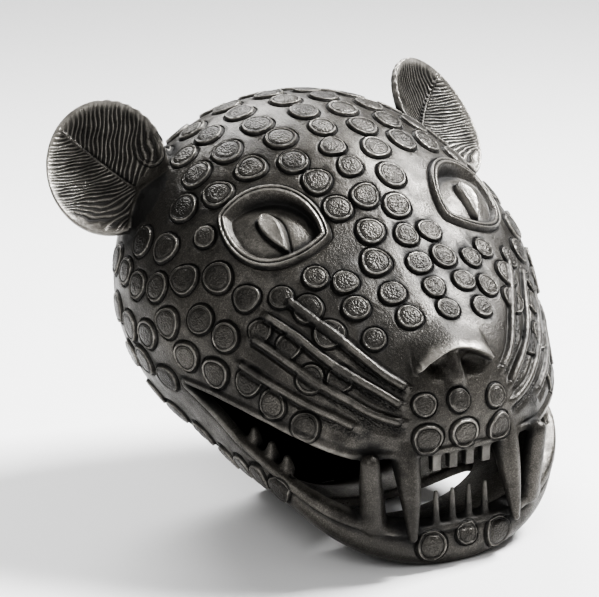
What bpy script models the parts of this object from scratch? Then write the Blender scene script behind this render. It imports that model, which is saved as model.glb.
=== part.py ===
# Leopard head, a hollow brass casting with raised spots, fangs and leaf-shaped ears.
# Metres, +Z up, the face looks along -Y, and the origin is on the table under the middle.
import bmesh
import bpy
import numpy as np
from math import cos, pi, radians, sin
from mathutils import Vector
from mathutils.geometry import delaunay_2d_cdt

for old in list(bpy.data.objects):
    bpy.data.objects.remove(old, do_unlink=True)

# Overall size, from the table to the crown. The free form keeps its shares of this height.
HEAD_HEIGHT = 0.148
GRID = HEAD_HEIGHT / 14.8

# Casting wall and openings
WALL = 0.0038
BACK_WALL = 0.0045
NECK_OPENING_WIDTH = 0.084
NECK_OPENING_HEIGHT = 0.072
NECK_OPENING_RISE = 0.0150
THROAT_WIDTH = 0.074
THROAT_LENGTH = 0.020

# Spots: each is as wide as its neighbours leave room for, within these sizes
SPOT_DIAMETER = 0.0122
SPOT_SMALLEST = 0.0092
SPOT_RELIEF = 0.0010
SPOT_GAP = 0.0009
SPOT_FILL_PITCH = 0.0152
SPOT_SIDES = 7
SPOT_TOP_SHARE = 0.88
SPOT_CLEARANCE = 0.0004

# Whisker ridges
WHISKER_WIDTH = 0.0030
WHISKER_RELIEF = 0.0018

# Eyes
EYE_LENGTH = 0.0420
EYE_UPPER_HEIGHT = 0.0155
EYE_LOWER_HEIGHT = 0.0180
EYE_DEPTH = 0.0052
LID_WIDTH = 0.0036
LID_RELIEF = 0.0015
LID_FOOT = 0.0009
PUPIL_LENGTH = 0.0165
PUPIL_WIDTH = 0.0070
PUPIL_RELIEF = 0.0014
EYEBALL_BULGE = 0.0008
EYE_POCKET_MARGIN = 0.0040

# Nose
NOSE_WIDTH = 0.0312
NOSE_RELIEF = 0.0060
NOSTRIL_DEPTH = 0.0020

# Ears
EAR_WIDTH = 0.0462
EAR_LENGTH = 0.0552
EAR_THICKNESS = 0.0034
EAR_CUP_DEPTH = 0.0080
EAR_ROOT_THICKNESS = 0.0110

# Teeth: carving of the mouth, in shares of the head's grid
UPPER_CANINE_DIAMETER = 1.08 * GRID
UPPER_CANINE_LENGTH = 3.30 * GRID
LOWER_CANINE_DIAMETER = 1.00 * GRID
LOWER_CANINE_LENGTH = 2.75 * GRID
INCISOR_PITCH = 0.70 * GRID
LOWER_INCISOR_LENGTH = 1.60 * GRID
LOWER_INCISOR_DIAMETER = 0.34 * GRID
UPPER_INCISOR_LENGTH = 0.95 * GRID
UPPER_INCISOR_WIDTH = 0.42 * GRID
MOLAR_DIAMETER = 0.60 * GRID
MOLAR_HEIGHT = 0.48 * GRID
MOLAR_ROOT = 0.30 * GRID

# Mesh fineness
OUTER_PITCH = 0.0125
INNER_PITCH = 0.0170
PLAIN_BAND = 0.0095
EYE_SIDES = 20
PUPIL_SIDES = 10
POCKET_SIDES = 14
EAR_SIDES = 20
OPENING_SIDES = 28


def grid(*values):
    return np.array(values, float) * GRID


# Free form of the head: ellipsoids that flow into one another
# (centre, half sizes, tilt in degrees about the side-to-side axis).
SKULL = (grid(0.0, 4.04, 7.84), grid(7.74, 7.66, 6.47), -39.0)
CHEEK = (grid(2.73, 2.08, 7.79), grid(4.69, 5.15, 3.40), -7.5)
MUZZLE = (grid(0.0, -1.40, 4.98), grid(6.42, 5.31, 4.93), -3.9)
JAW = (grid(0.0, -3.42, 3.21), grid(5.57, 4.51, 1.76), -45.6)
BRIDGE = (grid(0.0, -1.48, 8.68), grid(1.90, 5.14, 1.54), -47.5)
KEEL = (grid(0.0, 2.90, 0.98), grid(3.30, 2.70, 1.45), 12.0)
FACE_FLOW = 2.0 * GRID
JAW_FLOW = 1.5 * GRID
BRIDGE_FLOW = 1.2 * GRID
KEEL_FLOW = 0.8 * GRID
CENTRE = grid(0.0, 1.0, 6.5)
REACH = 20.0 * GRID
MEAN_RADIUS = 7.4 * GRID
TABLE_LEVEL = -0.12 * GRID

# Neck: the plane of the flat back wall, through this point, facing back and down
NECK_POINT = grid(0.0, 3.60, 0.0)
NECK_NORMAL = np.array([0.0, 0.864, -0.503])
NECK_NORMAL = NECK_NORMAL / np.linalg.norm(NECK_NORMAL)
NECK_MIDDLE = grid(0.0, 6.70, 5.33)

# Mouth seen from the side: (y, z) round the open wedge, corner of the mouth first
MOUTH = [
    grid(0.75, 5.78), grid(-0.60, 5.70), grid(-2.00, 5.50), grid(-3.30, 5.22), grid(-4.40, 4.82),
    grid(-5.60, 4.20), grid(-9.00, 4.15), grid(-9.00, 1.50), grid(-6.50, 1.56), grid(-5.55, 2.20),
    grid(-4.60, 2.90), grid(-3.60, 3.52), grid(-2.60, 3.92), grid(-1.60, 4.30), grid(-0.60, 4.98),
]

# Molars of the lower jaw, seen from the side: (y, z)
MOLARS = [(-3.55, 3.40), (-2.60, 3.82), (-1.65, 4.18)]

# Whisker ridges of the left cheek, from the cheek down to the lip
WHISKERS = [
    [grid(-4.82, -2.03, 9.61), grid(-3.82, -3.93, 8.46), grid(-2.69, -5.51, 7.29), grid(-1.75, -6.22, 6.51)],
    [grid(-5.62, -1.83, 9.05), grid(-4.39, -3.99, 7.90), grid(-3.57, -5.19, 7.05), grid(-2.16, -6.28, 5.96)],
    [grid(-6.15, -1.65, 8.52), grid(-5.02, -4.07, 6.94), grid(-3.74, -5.47, 6.27), grid(-1.88, -6.45, 5.43)],
    [grid(-6.59, -1.55, 7.51), grid(-5.43, -3.84, 6.50), grid(-4.44, -5.11, 5.87), grid(-2.76, -6.19, 4.76)],
]
WHISKER_STATIONS = 8

# Spots, each row from the face backwards, in shares of the grid.
# Rows seen from above, (x, y): the four beside the middle line, then one beside the nose.
MIDDLE_ROWS = [
    [(-1.05, -4.65), (-1.25, -3.80), (-1.30, -2.70), (-0.95, -1.75), (-0.55, -0.70), (-0.55, 0.40),
     (-0.72, 1.35), (-0.55, 2.40), (-0.65, 3.60), (-0.70, 4.90), (-0.70, 6.20), (-0.70, 7.50),
     (-0.70, 8.70)],
    [(0.58, -4.65), (0.45, -3.90), (0.33, -3.05), (0.36, -2.10), (0.54, -1.15), (0.95, -0.10), (0.95, 1.05),
     (1.10, 2.20), (0.95, 3.45), (0.90, 4.75), (0.85, 6.00), (0.80, 7.30), (0.80, 8.50)],
    [(-2.60, -4.75), (-2.75, -3.75), (-2.70, -2.90), (-2.15, -1.75), (-1.75, -0.75), (-2.00, 0.30),
     (-2.40, 1.35), (-2.25, 2.55), (-2.55, 3.80), (-2.50, 5.25), (-2.30, 6.60), (-2.20, 7.95)],
    [(2.10, -4.55), (1.85, -3.70), (1.50, -2.85), (1.45, -1.95), (1.88, -0.90), (2.50, 0.50), (2.45, 1.60),
     (2.55, 2.80), (2.50, 4.10), (2.45, 5.45), (2.35, 6.80), (2.30, 8.00)],
    [(2.85, -3.75), (2.75, -2.80), (2.60, -5.00)],
]
# Rows seen from above that both halves carry, over the brow and round the ear
BROW_ROWS = [
    [(-3.80, 2.05), (-4.05, 3.40), (-3.95, 5.00), (-3.90, 6.40), (-3.80, 7.80)],
    [(-5.15, 2.15), (-5.25, 3.60), (-5.00, 5.00)],
    [(-6.15, 1.30), (-6.15, 2.95)],
    [(-7.10, 2.60), (-7.30, 4.05)],
]
# Rows seen from the side, (y, z), that both halves carry: three on the cheek, the lip and the jaw
CHEEK_ROWS = [
    [(-2.30, 10.10), (-2.00, 9.50), (-1.25, 9.40), (-0.05, 9.95), (1.10, 9.70), (2.20, 9.20), (3.40, 9.00),
     (4.60, 9.20), (5.90, 9.30)],
    [(-3.85, 8.55), (-2.80, 9.35), (-3.10, 8.05), (-2.20, 8.45), (-1.15, 8.05), (-0.10, 8.50), (1.30, 8.10),
     (2.50, 7.35), (3.90, 7.30), (5.25, 7.60)],
    [(-4.25, 6.80), (-2.15, 6.65), (-0.90, 6.65), (0.40, 7.00), (1.90, 5.75), (3.25, 6.10), (4.60, 5.95)],
    [(-5.45, 5.35), (-4.50, 5.50), (-3.35, 6.10)],
    [(-6.30, 1.20), (-5.45, 1.90), (-4.70, 2.30), (-3.50, 2.80), (-2.30, 2.95), (-1.05, 2.95), (0.30, 2.85),
     (1.70, 3.40), (3.10, 3.90), (4.30, 4.40)],
]
# Rows seen from the front, (x, z): over the lip, on the lip and on the chin
FRONT_ROWS = [
    [(-1.50, 6.10), (-0.15, 6.10), (1.50, 5.95)],
    [(-1.45, 4.85), (0.03, 4.87), (1.60, 4.80)],
    [(0.10, 1.05), (1.50, 0.80), (-1.35, 0.80)],
]
# Behind this line, which lies past the ears, the ground is filled with spots evenly.
FILL_FROM = 5.0 * GRID

# Ear: middle of the rim, and the directions across it, along it and out of its hollow
EAR_MIDDLE = grid(7.35, 6.75, 12.69)
EAR_ACROSS = np.array([0.897, 0.414, -0.155])
EAR_ALONG = np.array([-0.143, 0.604, 0.784])
EAR_OUT = np.array([0.418, -0.681, 0.601])
EAR_ROOT = grid(6.30, 5.10, 11.80)
EAR_ROOT_REACH = 1.75 * GRID
EAR_ROOT_ANGLE = radians(-130.0)

# Eye: a point at its middle and the direction of its long axis
EYE_MIDDLE = grid(4.15, -0.09, 11.69)
EYE_ALONG = np.array([0.732, 0.672, 0.110])
PUPIL_MIDDLE = grid(-0.13, -0.15)
PUPIL_LEAN = radians(46.0)

NOSE_MIDDLE = grid(0.0, -5.70, 7.70)


def unit(v):
    return v / np.linalg.norm(v, axis=-1, keepdims=True)


def ellipsoid(p, centre, half, tilt):
    q = p - centre
    t = radians(tilt)
    y = q[:, 1] * cos(t) - q[:, 2] * sin(t)
    z = q[:, 1] * sin(t) + q[:, 2] * cos(t)
    q = np.stack([q[:, 0], y, z], axis=1)
    near = np.linalg.norm(q / half, axis=1)
    slope = np.linalg.norm(q / half ** 2, axis=1) + 1e-9
    return near * (near - 1.0) / slope


def blend(a, b, width):
    h = np.clip(0.5 + 0.5 * (b - a) / width, 0.0, 1.0)
    return b * (1.0 - h) + a * h - width * h * (1.0 - h)


def head_form(p):
    side = p.copy()
    side[:, 0] = np.abs(side[:, 0])
    d = ellipsoid(p, *SKULL)
    d = blend(d, ellipsoid(side, *CHEEK), FACE_FLOW)
    d = blend(d, ellipsoid(p, *MUZZLE), FACE_FLOW)
    d = blend(d, ellipsoid(p, *JAW), JAW_FLOW)
    d = blend(d, ellipsoid(p, *BRIDGE), BRIDGE_FLOW)
    return blend(d, ellipsoid(p, *KEEL), KEEL_FLOW)


def surface(points):
    """Points moved along their rays from the middle of the head onto the form."""
    rays = unit(np.atleast_2d(points) - CENTRE)
    low = np.zeros(len(rays))
    high = np.full(len(rays), REACH)
    for _ in range(28):
        mid = (low + high) / 2.0
        inside = head_form(CENTRE + rays * mid[:, None]) < 0.0
        low = np.where(inside, mid, low)
        high = np.where(inside, high, mid)
    return CENTRE + rays * ((low + high) / 2.0)[:, None]


def reach(start, direction):
    """The point of the form that is met on the way out from a point inside it."""
    low, high = 0.0, REACH
    for _ in range(28):
        mid = (low + high) / 2.0
        inside = head_form((start + direction * mid)[None])[0] < 0.0
        low, high = (mid, high) if inside else (low, mid)
    return start + direction * low


def normals(points):
    step = 0.01 * GRID
    slopes = [head_form(points + step * axis) - head_form(points - step * axis) for axis in np.eye(3)]
    return unit(np.stack(slopes, axis=1))


def mirrored(points):
    return [p * np.array([-1.0, 1.0, 1.0]) for p in points]


def along(line, count):
    """Evenly spaced points on the line through the given points."""
    line = np.array(line)
    steps = np.linalg.norm(np.diff(line, axis=0), axis=1)
    travel = np.concatenate([[0.0], np.cumsum(steps)])
    if travel[-1] == 0.0:
        return line[:1]
    wanted = np.linspace(0.0, travel[-1], count)
    return np.stack([np.interp(wanted, travel, line[:, k]) for k in range(3)], axis=1)


def sphere_rays(pitch, radius):
    """Evenly spread rays whose ends lie about one pitch apart at the given radius."""
    count = int(4.0 * pi * radius ** 2 / pitch ** 2)
    k = np.arange(count) + 0.5
    height = 1.0 - 2.0 * k / count
    turn = k * pi * (3.0 - 5.0 ** 0.5)
    flat = np.sqrt(1.0 - height ** 2)
    return np.stack([flat * np.cos(turn), flat * np.sin(turn), height], axis=1)


def frame_at(point, lean):
    """A point on the form with its outward direction, a direction along lean and one across."""
    foot = surface(point)[0]
    out = normals(foot[None])[0]
    first = unit(lean - out * np.dot(lean, out))
    second = np.cross(out, first)
    return foot, out, first, second if second[2] > 0.0 else -second


# Stereographic map from the neck: rays from the middle of the head become points of a plane,
# so a plane triangulation covers the whole head and the pole falls in the open neck.
POLE = unit(NECK_MIDDLE - CENTRE)
POLE_X = np.array([1.0, 0.0, 0.0])
POLE_Y = np.cross(POLE, POLE_X)
NECK_RING_COS = 0.86
NECK_RING_CLEAR = 0.04


def to_plane(points):
    rays = unit(points - CENTRE)
    c = rays @ POLE
    return np.stack([rays @ POLE_X / (1.0 - c), rays @ POLE_Y / (1.0 - c)], axis=1)


def from_plane(flat):
    r2 = (flat ** 2).sum(axis=1)
    c = (r2 - 1.0) / (r2 + 1.0)
    return (flat[:, :1] * POLE_X + flat[:, 1:] * POLE_Y) * (1.0 - c)[:, None] + c[:, None] * POLE


class Skin:
    """Points on the form with their lifts, the lines that the mesh keeps and the spots."""

    def __init__(self):
        self.points = []
        self.lifts = []
        self.lines = []
        self.spots = []

    def add(self, point, lift=0.0):
        self.points.append(np.array(point, float))
        self.lifts.append(lift)
        return len(self.points) - 1

    def line(self, points, lifts, closed=False):
        ids = [self.add(p, h) for p, h in zip(points, lifts)]
        self.lines += list(zip(ids[:-1], ids[1:]))
        if closed:
            self.lines.append((ids[-1], ids[0]))
        return ids

    def spread(self, pitch, clear):
        """Fills the open ground with evenly spread points, clear of what is there."""
        ring = []
        c = NECK_RING_COS
        for k in range(OPENING_SIDES):
            turn = 2.0 * pi * k / OPENING_SIDES
            ray = c * POLE + (1.0 - c * c) ** 0.5 * (cos(turn) * POLE_X + sin(turn) * POLE_Y)
            ring.append(self.add(surface(CENTRE + ray * GRID)[0]))
        taken = np.array(self.points)
        for p in surface(CENTRE + sphere_rays(pitch, MEAN_RADIUS) * GRID):
            if unit(p - CENTRE) @ POLE > NECK_RING_COS - NECK_RING_CLEAR:
                continue
            if np.min(np.linalg.norm(taken - p, axis=1)) > clear:
                self.add(p)
        return ring

    def build(self, name, ring, lift_out):
        points = surface(np.array(self.points))
        flat = to_plane(points)
        faces = []
        for spot in self.spots:
            q = flat[spot]
            turn = sum(np.cross(q[i], q[(i + 1) % len(q)]) for i in range(len(q)))
            faces.append(spot if turn > 0 else spot[::-1])
        seeds = [Vector((float(a), float(b))) for a, b in flat]
        verts, _, tris, origin, _, owner = delaunay_2d_cdt(seeds, self.lines, faces, 0, 1e-7)
        rays = from_plane(np.array([[v.x, v.y] for v in verts]))
        place = surface(CENTRE + rays * GRID)
        lift = np.array([self.lifts[o[0]] if o else 0.0 for o in origin])
        place = place + normals(place) * lift[:, None] * lift_out
        bm = bmesh.new()
        vs = [bm.verts.new(p) for p in place]
        pole = bm.verts.new(surface(CENTRE + POLE[None] * GRID)[0])
        index = {o[0]: i for i, o in enumerate(origin) if o}
        for tri, own in zip(tris, owner):
            if own:
                continue
            bm.faces.new([vs[i] for i in tri])
        count = len(ring)
        for k in range(count):
            bm.faces.new([vs[index[ring[k]]], vs[index[ring[(k + 1) % count]]], pole])
        for spot in self.spots:
            self.raise_spot(bm, [vs[index[i]] for i in spot])
        bmesh.ops.recalc_face_normals(bm, faces=bm.faces)
        mesh = bpy.data.meshes.new(name)
        bm.to_mesh(mesh)
        bm.free()
        return mesh

    @staticmethod
    def raise_spot(bm, foot):
        ground = np.array([v.co for v in foot])
        middle = ground.mean(axis=0)
        out = normals(surface(middle))[0]
        level = max((g - middle) @ out for g in ground)
        top = []
        for g in ground:
            across = (g - middle) - out * ((g - middle) @ out)
            top.append(bm.verts.new(middle + across * SPOT_TOP_SHARE + out * (SPOT_RELIEF + level)))
        count = len(foot)
        for k in range(count):
            j = (k + 1) % count
            bm.faces.new([foot[k], foot[j], top[j], top[k]])
        bm.faces.new(top)


def eye_ring(grow, count):
    ring = []
    for k in range(count):
        t = 2.0 * pi * k / count
        high = EYE_UPPER_HEIGHT if sin(t) > 0.0 else EYE_LOWER_HEIGHT
        rise = (high + grow) * abs(sin(t)) ** 1.5
        ring.append(((EYE_LENGTH / 2.0 + grow) * cos(t), rise if sin(t) > 0.0 else -rise))
    return ring


def lay_eye(skin, side):
    foot, out, first, second = frame_at(EYE_MIDDLE, EYE_ALONG)
    flip = np.array([side, 1.0, 1.0])

    def at(a, b):
        return (foot + a * first + b * second) * flip

    for grow, lift in ((LID_FOOT, 0.0), (0.0, LID_RELIEF), (LID_FOOT - LID_WIDTH, LID_RELIEF * 0.8),
                       (-LID_WIDTH, -EYE_DEPTH)):
        skin.line([at(a, b) for a, b in eye_ring(grow, EYE_SIDES)], [lift] * EYE_SIDES, closed=True)
    for share, lift in ((1.0, -EYE_DEPTH), (0.62, PUPIL_RELIEF - EYE_DEPTH)):
        ring = []
        for k in range(PUPIL_SIDES):
            t = 2.0 * pi * k / PUPIL_SIDES
            a = share * PUPIL_LENGTH / 2.0 * cos(t)
            b = share * PUPIL_WIDTH / 2.0 * sin(t)
            ring.append(at(PUPIL_MIDDLE[0] + a * cos(PUPIL_LEAN) - b * sin(PUPIL_LEAN),
                           PUPIL_MIDDLE[1] + a * sin(PUPIL_LEAN) + b * cos(PUPIL_LEAN)))
        skin.line(ring, [lift] * PUPIL_SIDES, closed=True)
    for a, b in ((-0.60, 0.10), (-0.35, 0.45), (0.05, 0.55), (0.45, 0.30), (0.62, -0.05), (0.40, -0.45),
                 (-0.15, -0.62)):
        skin.add(at(a * EYE_LENGTH / 2.0, b * EYE_LOWER_HEIGHT), EYEBALL_BULGE - EYE_DEPTH)


def lay_nose(skin):
    foot, out, first, second = frame_at(NOSE_MIDDLE, np.array([1.0, 0.0, 0.0]))
    half = NOSE_WIDTH / 2.0
    rows = [
        (((-1.00, 0.08), (-0.72, 0.27), (-0.38, 0.42), (0.0, 0.52), (0.38, 0.42), (0.72, 0.27), (1.00, 0.08)),
         (0.0, 0.12, 0.15, 0.12, 0.15, 0.12, 0.0)),
        (((-0.96, 0.00), (-0.62, 0.12), (-0.30, 0.12), (0.0, 0.04), (0.30, 0.12), (0.62, 0.12), (0.96, 0.00)),
         (0.35, 0.85, 1.0, 1.0, 1.0, 0.85, 0.35)),
    ]
    for spread, shares in rows:
        points = [foot + a * half * first + b * half * second for a, b in spread]
        skin.line(points, [NOSE_RELIEF * s for s in shares])
    hollow = -NOSTRIL_DEPTH
    septum = 0.55 * NOSE_RELIEF
    wing = 0.35 * NOSE_RELIEF
    lower = [
        (-0.08, (-0.90, -0.70, -0.45, -0.20, 0.0, 0.20, 0.45, 0.70, 0.90),
         (0.0, hollow * 0.4, hollow, hollow * 0.3, septum, hollow * 0.3, hollow, hollow * 0.4, 0.0)),
        (-0.42, (-0.88, -0.68, -0.45, -0.20, 0.0, 0.20, 0.45, 0.68, 0.88),
         (wing, hollow * 0.2, hollow, hollow * 0.2, septum, hollow * 0.2, hollow, hollow * 0.2, wing)),
    ]
    for b, spread, lifts in lower:
        skin.line([foot + a * half * first + b * half * second for a in spread], lifts)
    foot_row = (-0.95, -0.55, -0.18, 0.18, 0.55, 0.95)
    skin.line([foot + a * half * first - 0.74 * half * second for a in foot_row], [0.0] * len(foot_row))


def lay_whisker(skin, line):
    points = surface(along(line, WHISKER_STATIONS))
    out = normals(points)
    crest = [points[0]]
    left = []
    right = []
    for k in range(1, WHISKER_STATIONS - 1):
        run = unit(points[k + 1] - points[k - 1])
        across = np.cross(out[k], run) * WHISKER_WIDTH / 2.0
        crest.append(points[k])
        left.append(points[k] + across)
        right.append(points[k] - across)
    crest.append(points[-1])
    ids = skin.line(crest, [0.0] + [WHISKER_RELIEF] * (WHISKER_STATIONS - 2) + [0.0])
    for feet in (left, right):
        side = skin.line(feet, [0.0] * len(feet))
        skin.lines += [(ids[0], side[0]), (side[-1], ids[-1])]


def segment_distance(p, a, b):
    run = b - a
    t = np.clip(np.dot(p - a, run) / max(np.dot(run, run), 1e-12), 0.0, 1.0)
    return np.linalg.norm(p - a - t * run)


def in_mouth(p):
    """Whether a point lies in the mouth's wedge seen from the side."""
    inside = False
    for a, b in zip(MOUTH, MOUTH[1:] + MOUTH[:1]):
        if (a[1] > p[2]) != (b[1] > p[2]):
            if p[1] < (b[0] - a[0]) * (p[2] - a[1]) / (b[1] - a[1]) + a[0]:
                inside = not inside
    return inside


def wanted_spots():
    """Spots of the rows, the left ones first where both halves carry the row."""
    up = np.array([0.0, 0.0, 1.0])
    left = np.array([-1.0, 0.0, 0.0])
    ahead = np.array([0.0, -1.0, 0.0])
    wanted = []
    for row in MIDDLE_ROWS:
        wanted += [reach(grid(x, y, 7.0), up) for x, y in row]
    for row in FRONT_ROWS:
        wanted += [reach(grid(x, 0.0, z), ahead) for x, z in row]
    for row in BROW_ROWS:
        points = [reach(grid(x, y, 7.0), up) for x, y in row]
        wanted += points + mirrored(points)
    for row in CHEEK_ROWS:
        points = [reach(grid(0.0, y, z), left) for y, z in row]
        wanted += points + mirrored(points)
    for p in surface(CENTRE + sphere_rays(0.3 * SPOT_FILL_PITCH, MEAN_RADIUS) * GRID):
        if p[1] > FILL_FROM and np.min(np.linalg.norm(np.array(wanted) - p, axis=1)) > SPOT_FILL_PITCH:
            wanted.append(p)
    return np.array(wanted)


def spot_fits(p, radius, whiskers, eye, lid, nose):
    right = p if p[0] > 0.0 else p * np.array([-1.0, 1.0, 1.0])
    left = right * np.array([-1.0, 1.0, 1.0])
    if (p - NECK_POINT) @ NECK_NORMAL > -(radius + PLAIN_BAND) or p[2] < 0.9 * radius:
        return False
    if np.linalg.norm(right - EAR_ROOT) < EAR_ROOT_REACH + 0.2 * radius:
        return False
    for line in whiskers:
        for a, b in zip(line[:-1], line[1:]):
            if segment_distance(left, a, b) < radius + WHISKER_WIDTH / 2.0 + SPOT_CLEARANCE:
                return False
    if np.linalg.norm(right - eye[0]) < EYE_UPPER_HEIGHT:
        return False
    for a, b in zip(lid, np.roll(lid, 1, axis=0)):
        if segment_distance(right, a, b) < radius + SPOT_CLEARANCE:
            return False
    foot, _, first, second = nose
    a, b = (p - foot) @ first, (p - foot) @ second
    beside = abs(a) > NOSE_WIDTH / 2.0 + 0.8 * radius
    if not beside and -0.38 * NOSE_WIDTH - radius < b < 0.26 * NOSE_WIDTH + radius:
        return False
    rim = [in_mouth(p + 1.02 * radius * np.array([0.0, cos(t), sin(t)])) for t in np.arange(0.0, 6.2, 0.7)]
    return not (in_mouth(p) or any(rim))


def lay_spots(skin):
    eye = frame_at(EYE_MIDDLE, EYE_ALONG)
    lid = surface(np.array([eye[0] + a * eye[2] + b * eye[3] for a, b in eye_ring(LID_FOOT, EYE_SIDES)]))
    nose = frame_at(NOSE_MIDDLE, np.array([1.0, 0.0, 0.0]))
    whiskers = [surface(along(line, WHISKER_STATIONS)) for line in WHISKERS]
    wanted = wanted_spots()
    placed = []
    for k, p in enumerate(wanted):
        apart = np.delete(np.linalg.norm(wanted - p, axis=1), k)
        diameter = min(SPOT_DIAMETER, max(SPOT_SMALLEST, np.min(apart) - SPOT_GAP))
        if placed and np.min(np.linalg.norm(np.array(placed) - p, axis=1)) < diameter:
            continue
        if not spot_fits(p, diameter / 2.0, whiskers, eye, lid, nose):
            diameter = SPOT_SMALLEST
            if not spot_fits(p, diameter / 2.0, whiskers, eye, lid, nose):
                continue
        placed.append(p)
        out = normals(p[None])[0]
        first = unit(np.cross(out, np.array([0.31, 0.17, 0.94])))
        second = np.cross(out, first)
        ring = []
        for j in range(SPOT_SIDES):
            t = 2.0 * pi * j / SPOT_SIDES
            ring.append(skin.add(p + diameter / 2.0 * (cos(t) * first + sin(t) * second)))
        skin.spots.append(ring)
    return placed


def make_object(name, mesh):
    obj = bpy.data.objects.new(name, mesh)
    bpy.context.scene.collection.objects.link(obj)
    return obj


def make_mesh(name, verts, faces):
    mesh = bpy.data.meshes.new(name)
    mesh.from_pydata([tuple(float(c) for c in v) for v in verts], [], faces)
    bm = bmesh.new()
    bm.from_mesh(mesh)
    bmesh.ops.recalc_face_normals(bm, faces=bm.faces)
    bm.to_mesh(mesh)
    bm.free()
    return mesh


def combine(body, tool, operation):
    tool.hide_render = True
    tool.display_type = "WIRE"
    cut = body.modifiers.new(tool.name, "BOOLEAN")
    cut.operation = operation
    cut.solver = "EXACT"
    cut.object = tool


def prism(name, outline, base, run_x, run_y, depth):
    """A closed prism: the outline in a plane, carried along depth."""
    count = len(outline)
    low = [base + a * run_x + b * run_y for a, b in outline]
    high = [p + depth for p in low]
    faces = [list(range(count))[::-1], [count + k for k in range(count)]]
    faces += [[k, (k + 1) % count, count + (k + 1) % count, count + k] for k in range(count)]
    return make_object(name, make_mesh(name, low + high, faces))


def horn(root, tip, start, end, sides, bend, levels):
    """A tapering tooth from root to tip, bent forward in its middle, as vertices and faces."""
    axis = unit(tip - root)
    first = unit(np.cross(axis, np.array([0.0, 1.0, 0.0])))
    second = np.cross(axis, first)
    verts = []
    for k in range(levels):
        s = k / (levels - 1)
        width = start + (end - start) * s ** 1.4
        middle = root + (tip - root) * s + bend * 4.0 * s * (1.0 - s)
        for j in range(sides):
            t = 2.0 * pi * (j + 0.5) / sides
            verts.append(middle + width * (cos(t) * first + sin(t) * second))
    faces = []
    for k in range(levels - 1):
        for j in range(sides):
            i = (j + 1) % sides
            faces.append([k * sides + j, k * sides + i, (k + 1) * sides + i, (k + 1) * sides + j])
    faces.append(list(range(sides))[::-1])
    faces.append([(levels - 1) * sides + j for j in range(sides)])
    return verts, faces


def make_teeth():
    verts = []
    faces = []

    def add(piece):
        start = len(verts)
        verts.extend(piece[0])
        faces.extend([[start + i for i in f] for f in piece[1]])

    for side in (-1.0, 1.0):
        flip = np.array([side, 1.0, 1.0])
        top = grid(2.10, -5.98, 4.32) * flip
        run = unit(grid(0.10, -0.84, -3.20)) * flip
        r = UPPER_CANINE_DIAMETER / 2.0
        add(horn(top, top + run * UPPER_CANINE_LENGTH, r, 0.28 * r, 8, grid(0.0, -0.10, 0.0), 5))
        low = grid(3.28, -5.80, 1.72) * flip
        run = unit(grid(0.32, -0.30, 2.70)) * flip
        r = LOWER_CANINE_DIAMETER / 2.0
        add(horn(low, low + run * LOWER_CANINE_LENGTH, r, 0.66 * r, 8, grid(0.0, 0.0, 0.0), 4))
        for k in (0.5, 1.5):
            x = side * k * INCISOR_PITCH
            low = np.array([x, -6.47 * GRID, 1.17 * GRID])
            r = LOWER_INCISOR_DIAMETER / 2.0
            up = np.array([0.0, 0.0, LOWER_INCISOR_LENGTH])
            add(horn(low, low + up, r, 0.45 * r, 6, grid(0.0, 0.0, 0.0), 2))
            high = np.array([x, -6.40 * GRID, 4.50 * GRID])
            r = UPPER_INCISOR_WIDTH / 2.0
            add(horn(high, high - np.array([0.0, 0.0, UPPER_INCISOR_LENGTH]), r, 0.8 * r, 4,
                     grid(0.0, 0.0, 0.0), 2))
        for y, z in MOLARS:
            gum = surface(grid(5.9, y, z)[None])[0]
            out = normals(gum[None])[0]
            base = (gum - out * WALL * 1.35) * flip - np.array([0.0, 0.0, MOLAR_ROOT])
            r = MOLAR_DIAMETER / 2.0
            add(horn(base, base + np.array([0.0, 0.0, MOLAR_HEIGHT + MOLAR_ROOT]), r, 0.45 * r, 6,
                     grid(0.0, 0.0, 0.0), 2))
    return make_object("teeth", make_mesh("teeth", verts, faces))


def make_ear(name, side):
    """A cupped leaf with a thicker root, facing forward and outward."""
    flip = np.array([side, 1.0, 1.0])
    out = unit(EAR_OUT)
    across = unit(EAR_ACROSS - out * np.dot(EAR_ACROSS, out))
    length = np.cross(out, across)
    sides = EAR_SIDES

    def at(share, turn, depth):
        a = share * EAR_WIDTH / 2.0 * cos(turn)
        b = share * EAR_LENGTH / 2.0 * sin(turn)
        return (EAR_MIDDLE + a * across + b * length - out * depth) * flip

    verts = []
    rings = []
    front = (0.34, 0.68, 0.92)
    verts.append(at(0.0, 0.0, EAR_CUP_DEPTH))
    for share in front:
        rings.append([(share, EAR_CUP_DEPTH * (1.0 - share ** 2), 0.0)] * sides)
    rings.append([(1.0, EAR_THICKNESS * 0.15, 0.0)] * sides)
    rings.append([(1.0, EAR_THICKNESS * 0.85, 0.0)] * sides)
    for share in front[::-1]:
        behind = EAR_CUP_DEPTH * (1.0 - share ** 2) + EAR_THICKNESS
        rings.append([(share, behind, EAR_ROOT_THICKNESS)] * sides)
    for ring in rings:
        for k, (share, depth, root) in enumerate(ring):
            turn = 2.0 * pi * k / sides
            toward = max(0.0, cos(turn - EAR_ROOT_ANGLE))
            verts.append(at(share, turn, depth + root * toward * (1.0 - abs(share - 0.6) / 0.6)))
    verts.append(at(0.0, 0.0, EAR_CUP_DEPTH + EAR_THICKNESS + 0.25 * EAR_ROOT_THICKNESS))
    faces = [[0, 1 + k, 1 + (k + 1) % sides] for k in range(sides)]
    for level in range(len(rings) - 1):
        for k in range(sides):
            j = (k + 1) % sides
            low = 1 + level * sides
            faces.append([low + k, low + j, low + sides + j, low + sides + k])
    last = 1 + (len(rings) - 1) * sides
    faces += [[last + k, last + (k + 1) % sides, len(verts) - 1] for k in range(sides)]
    return make_object(name, make_mesh(name, verts, faces))


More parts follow.
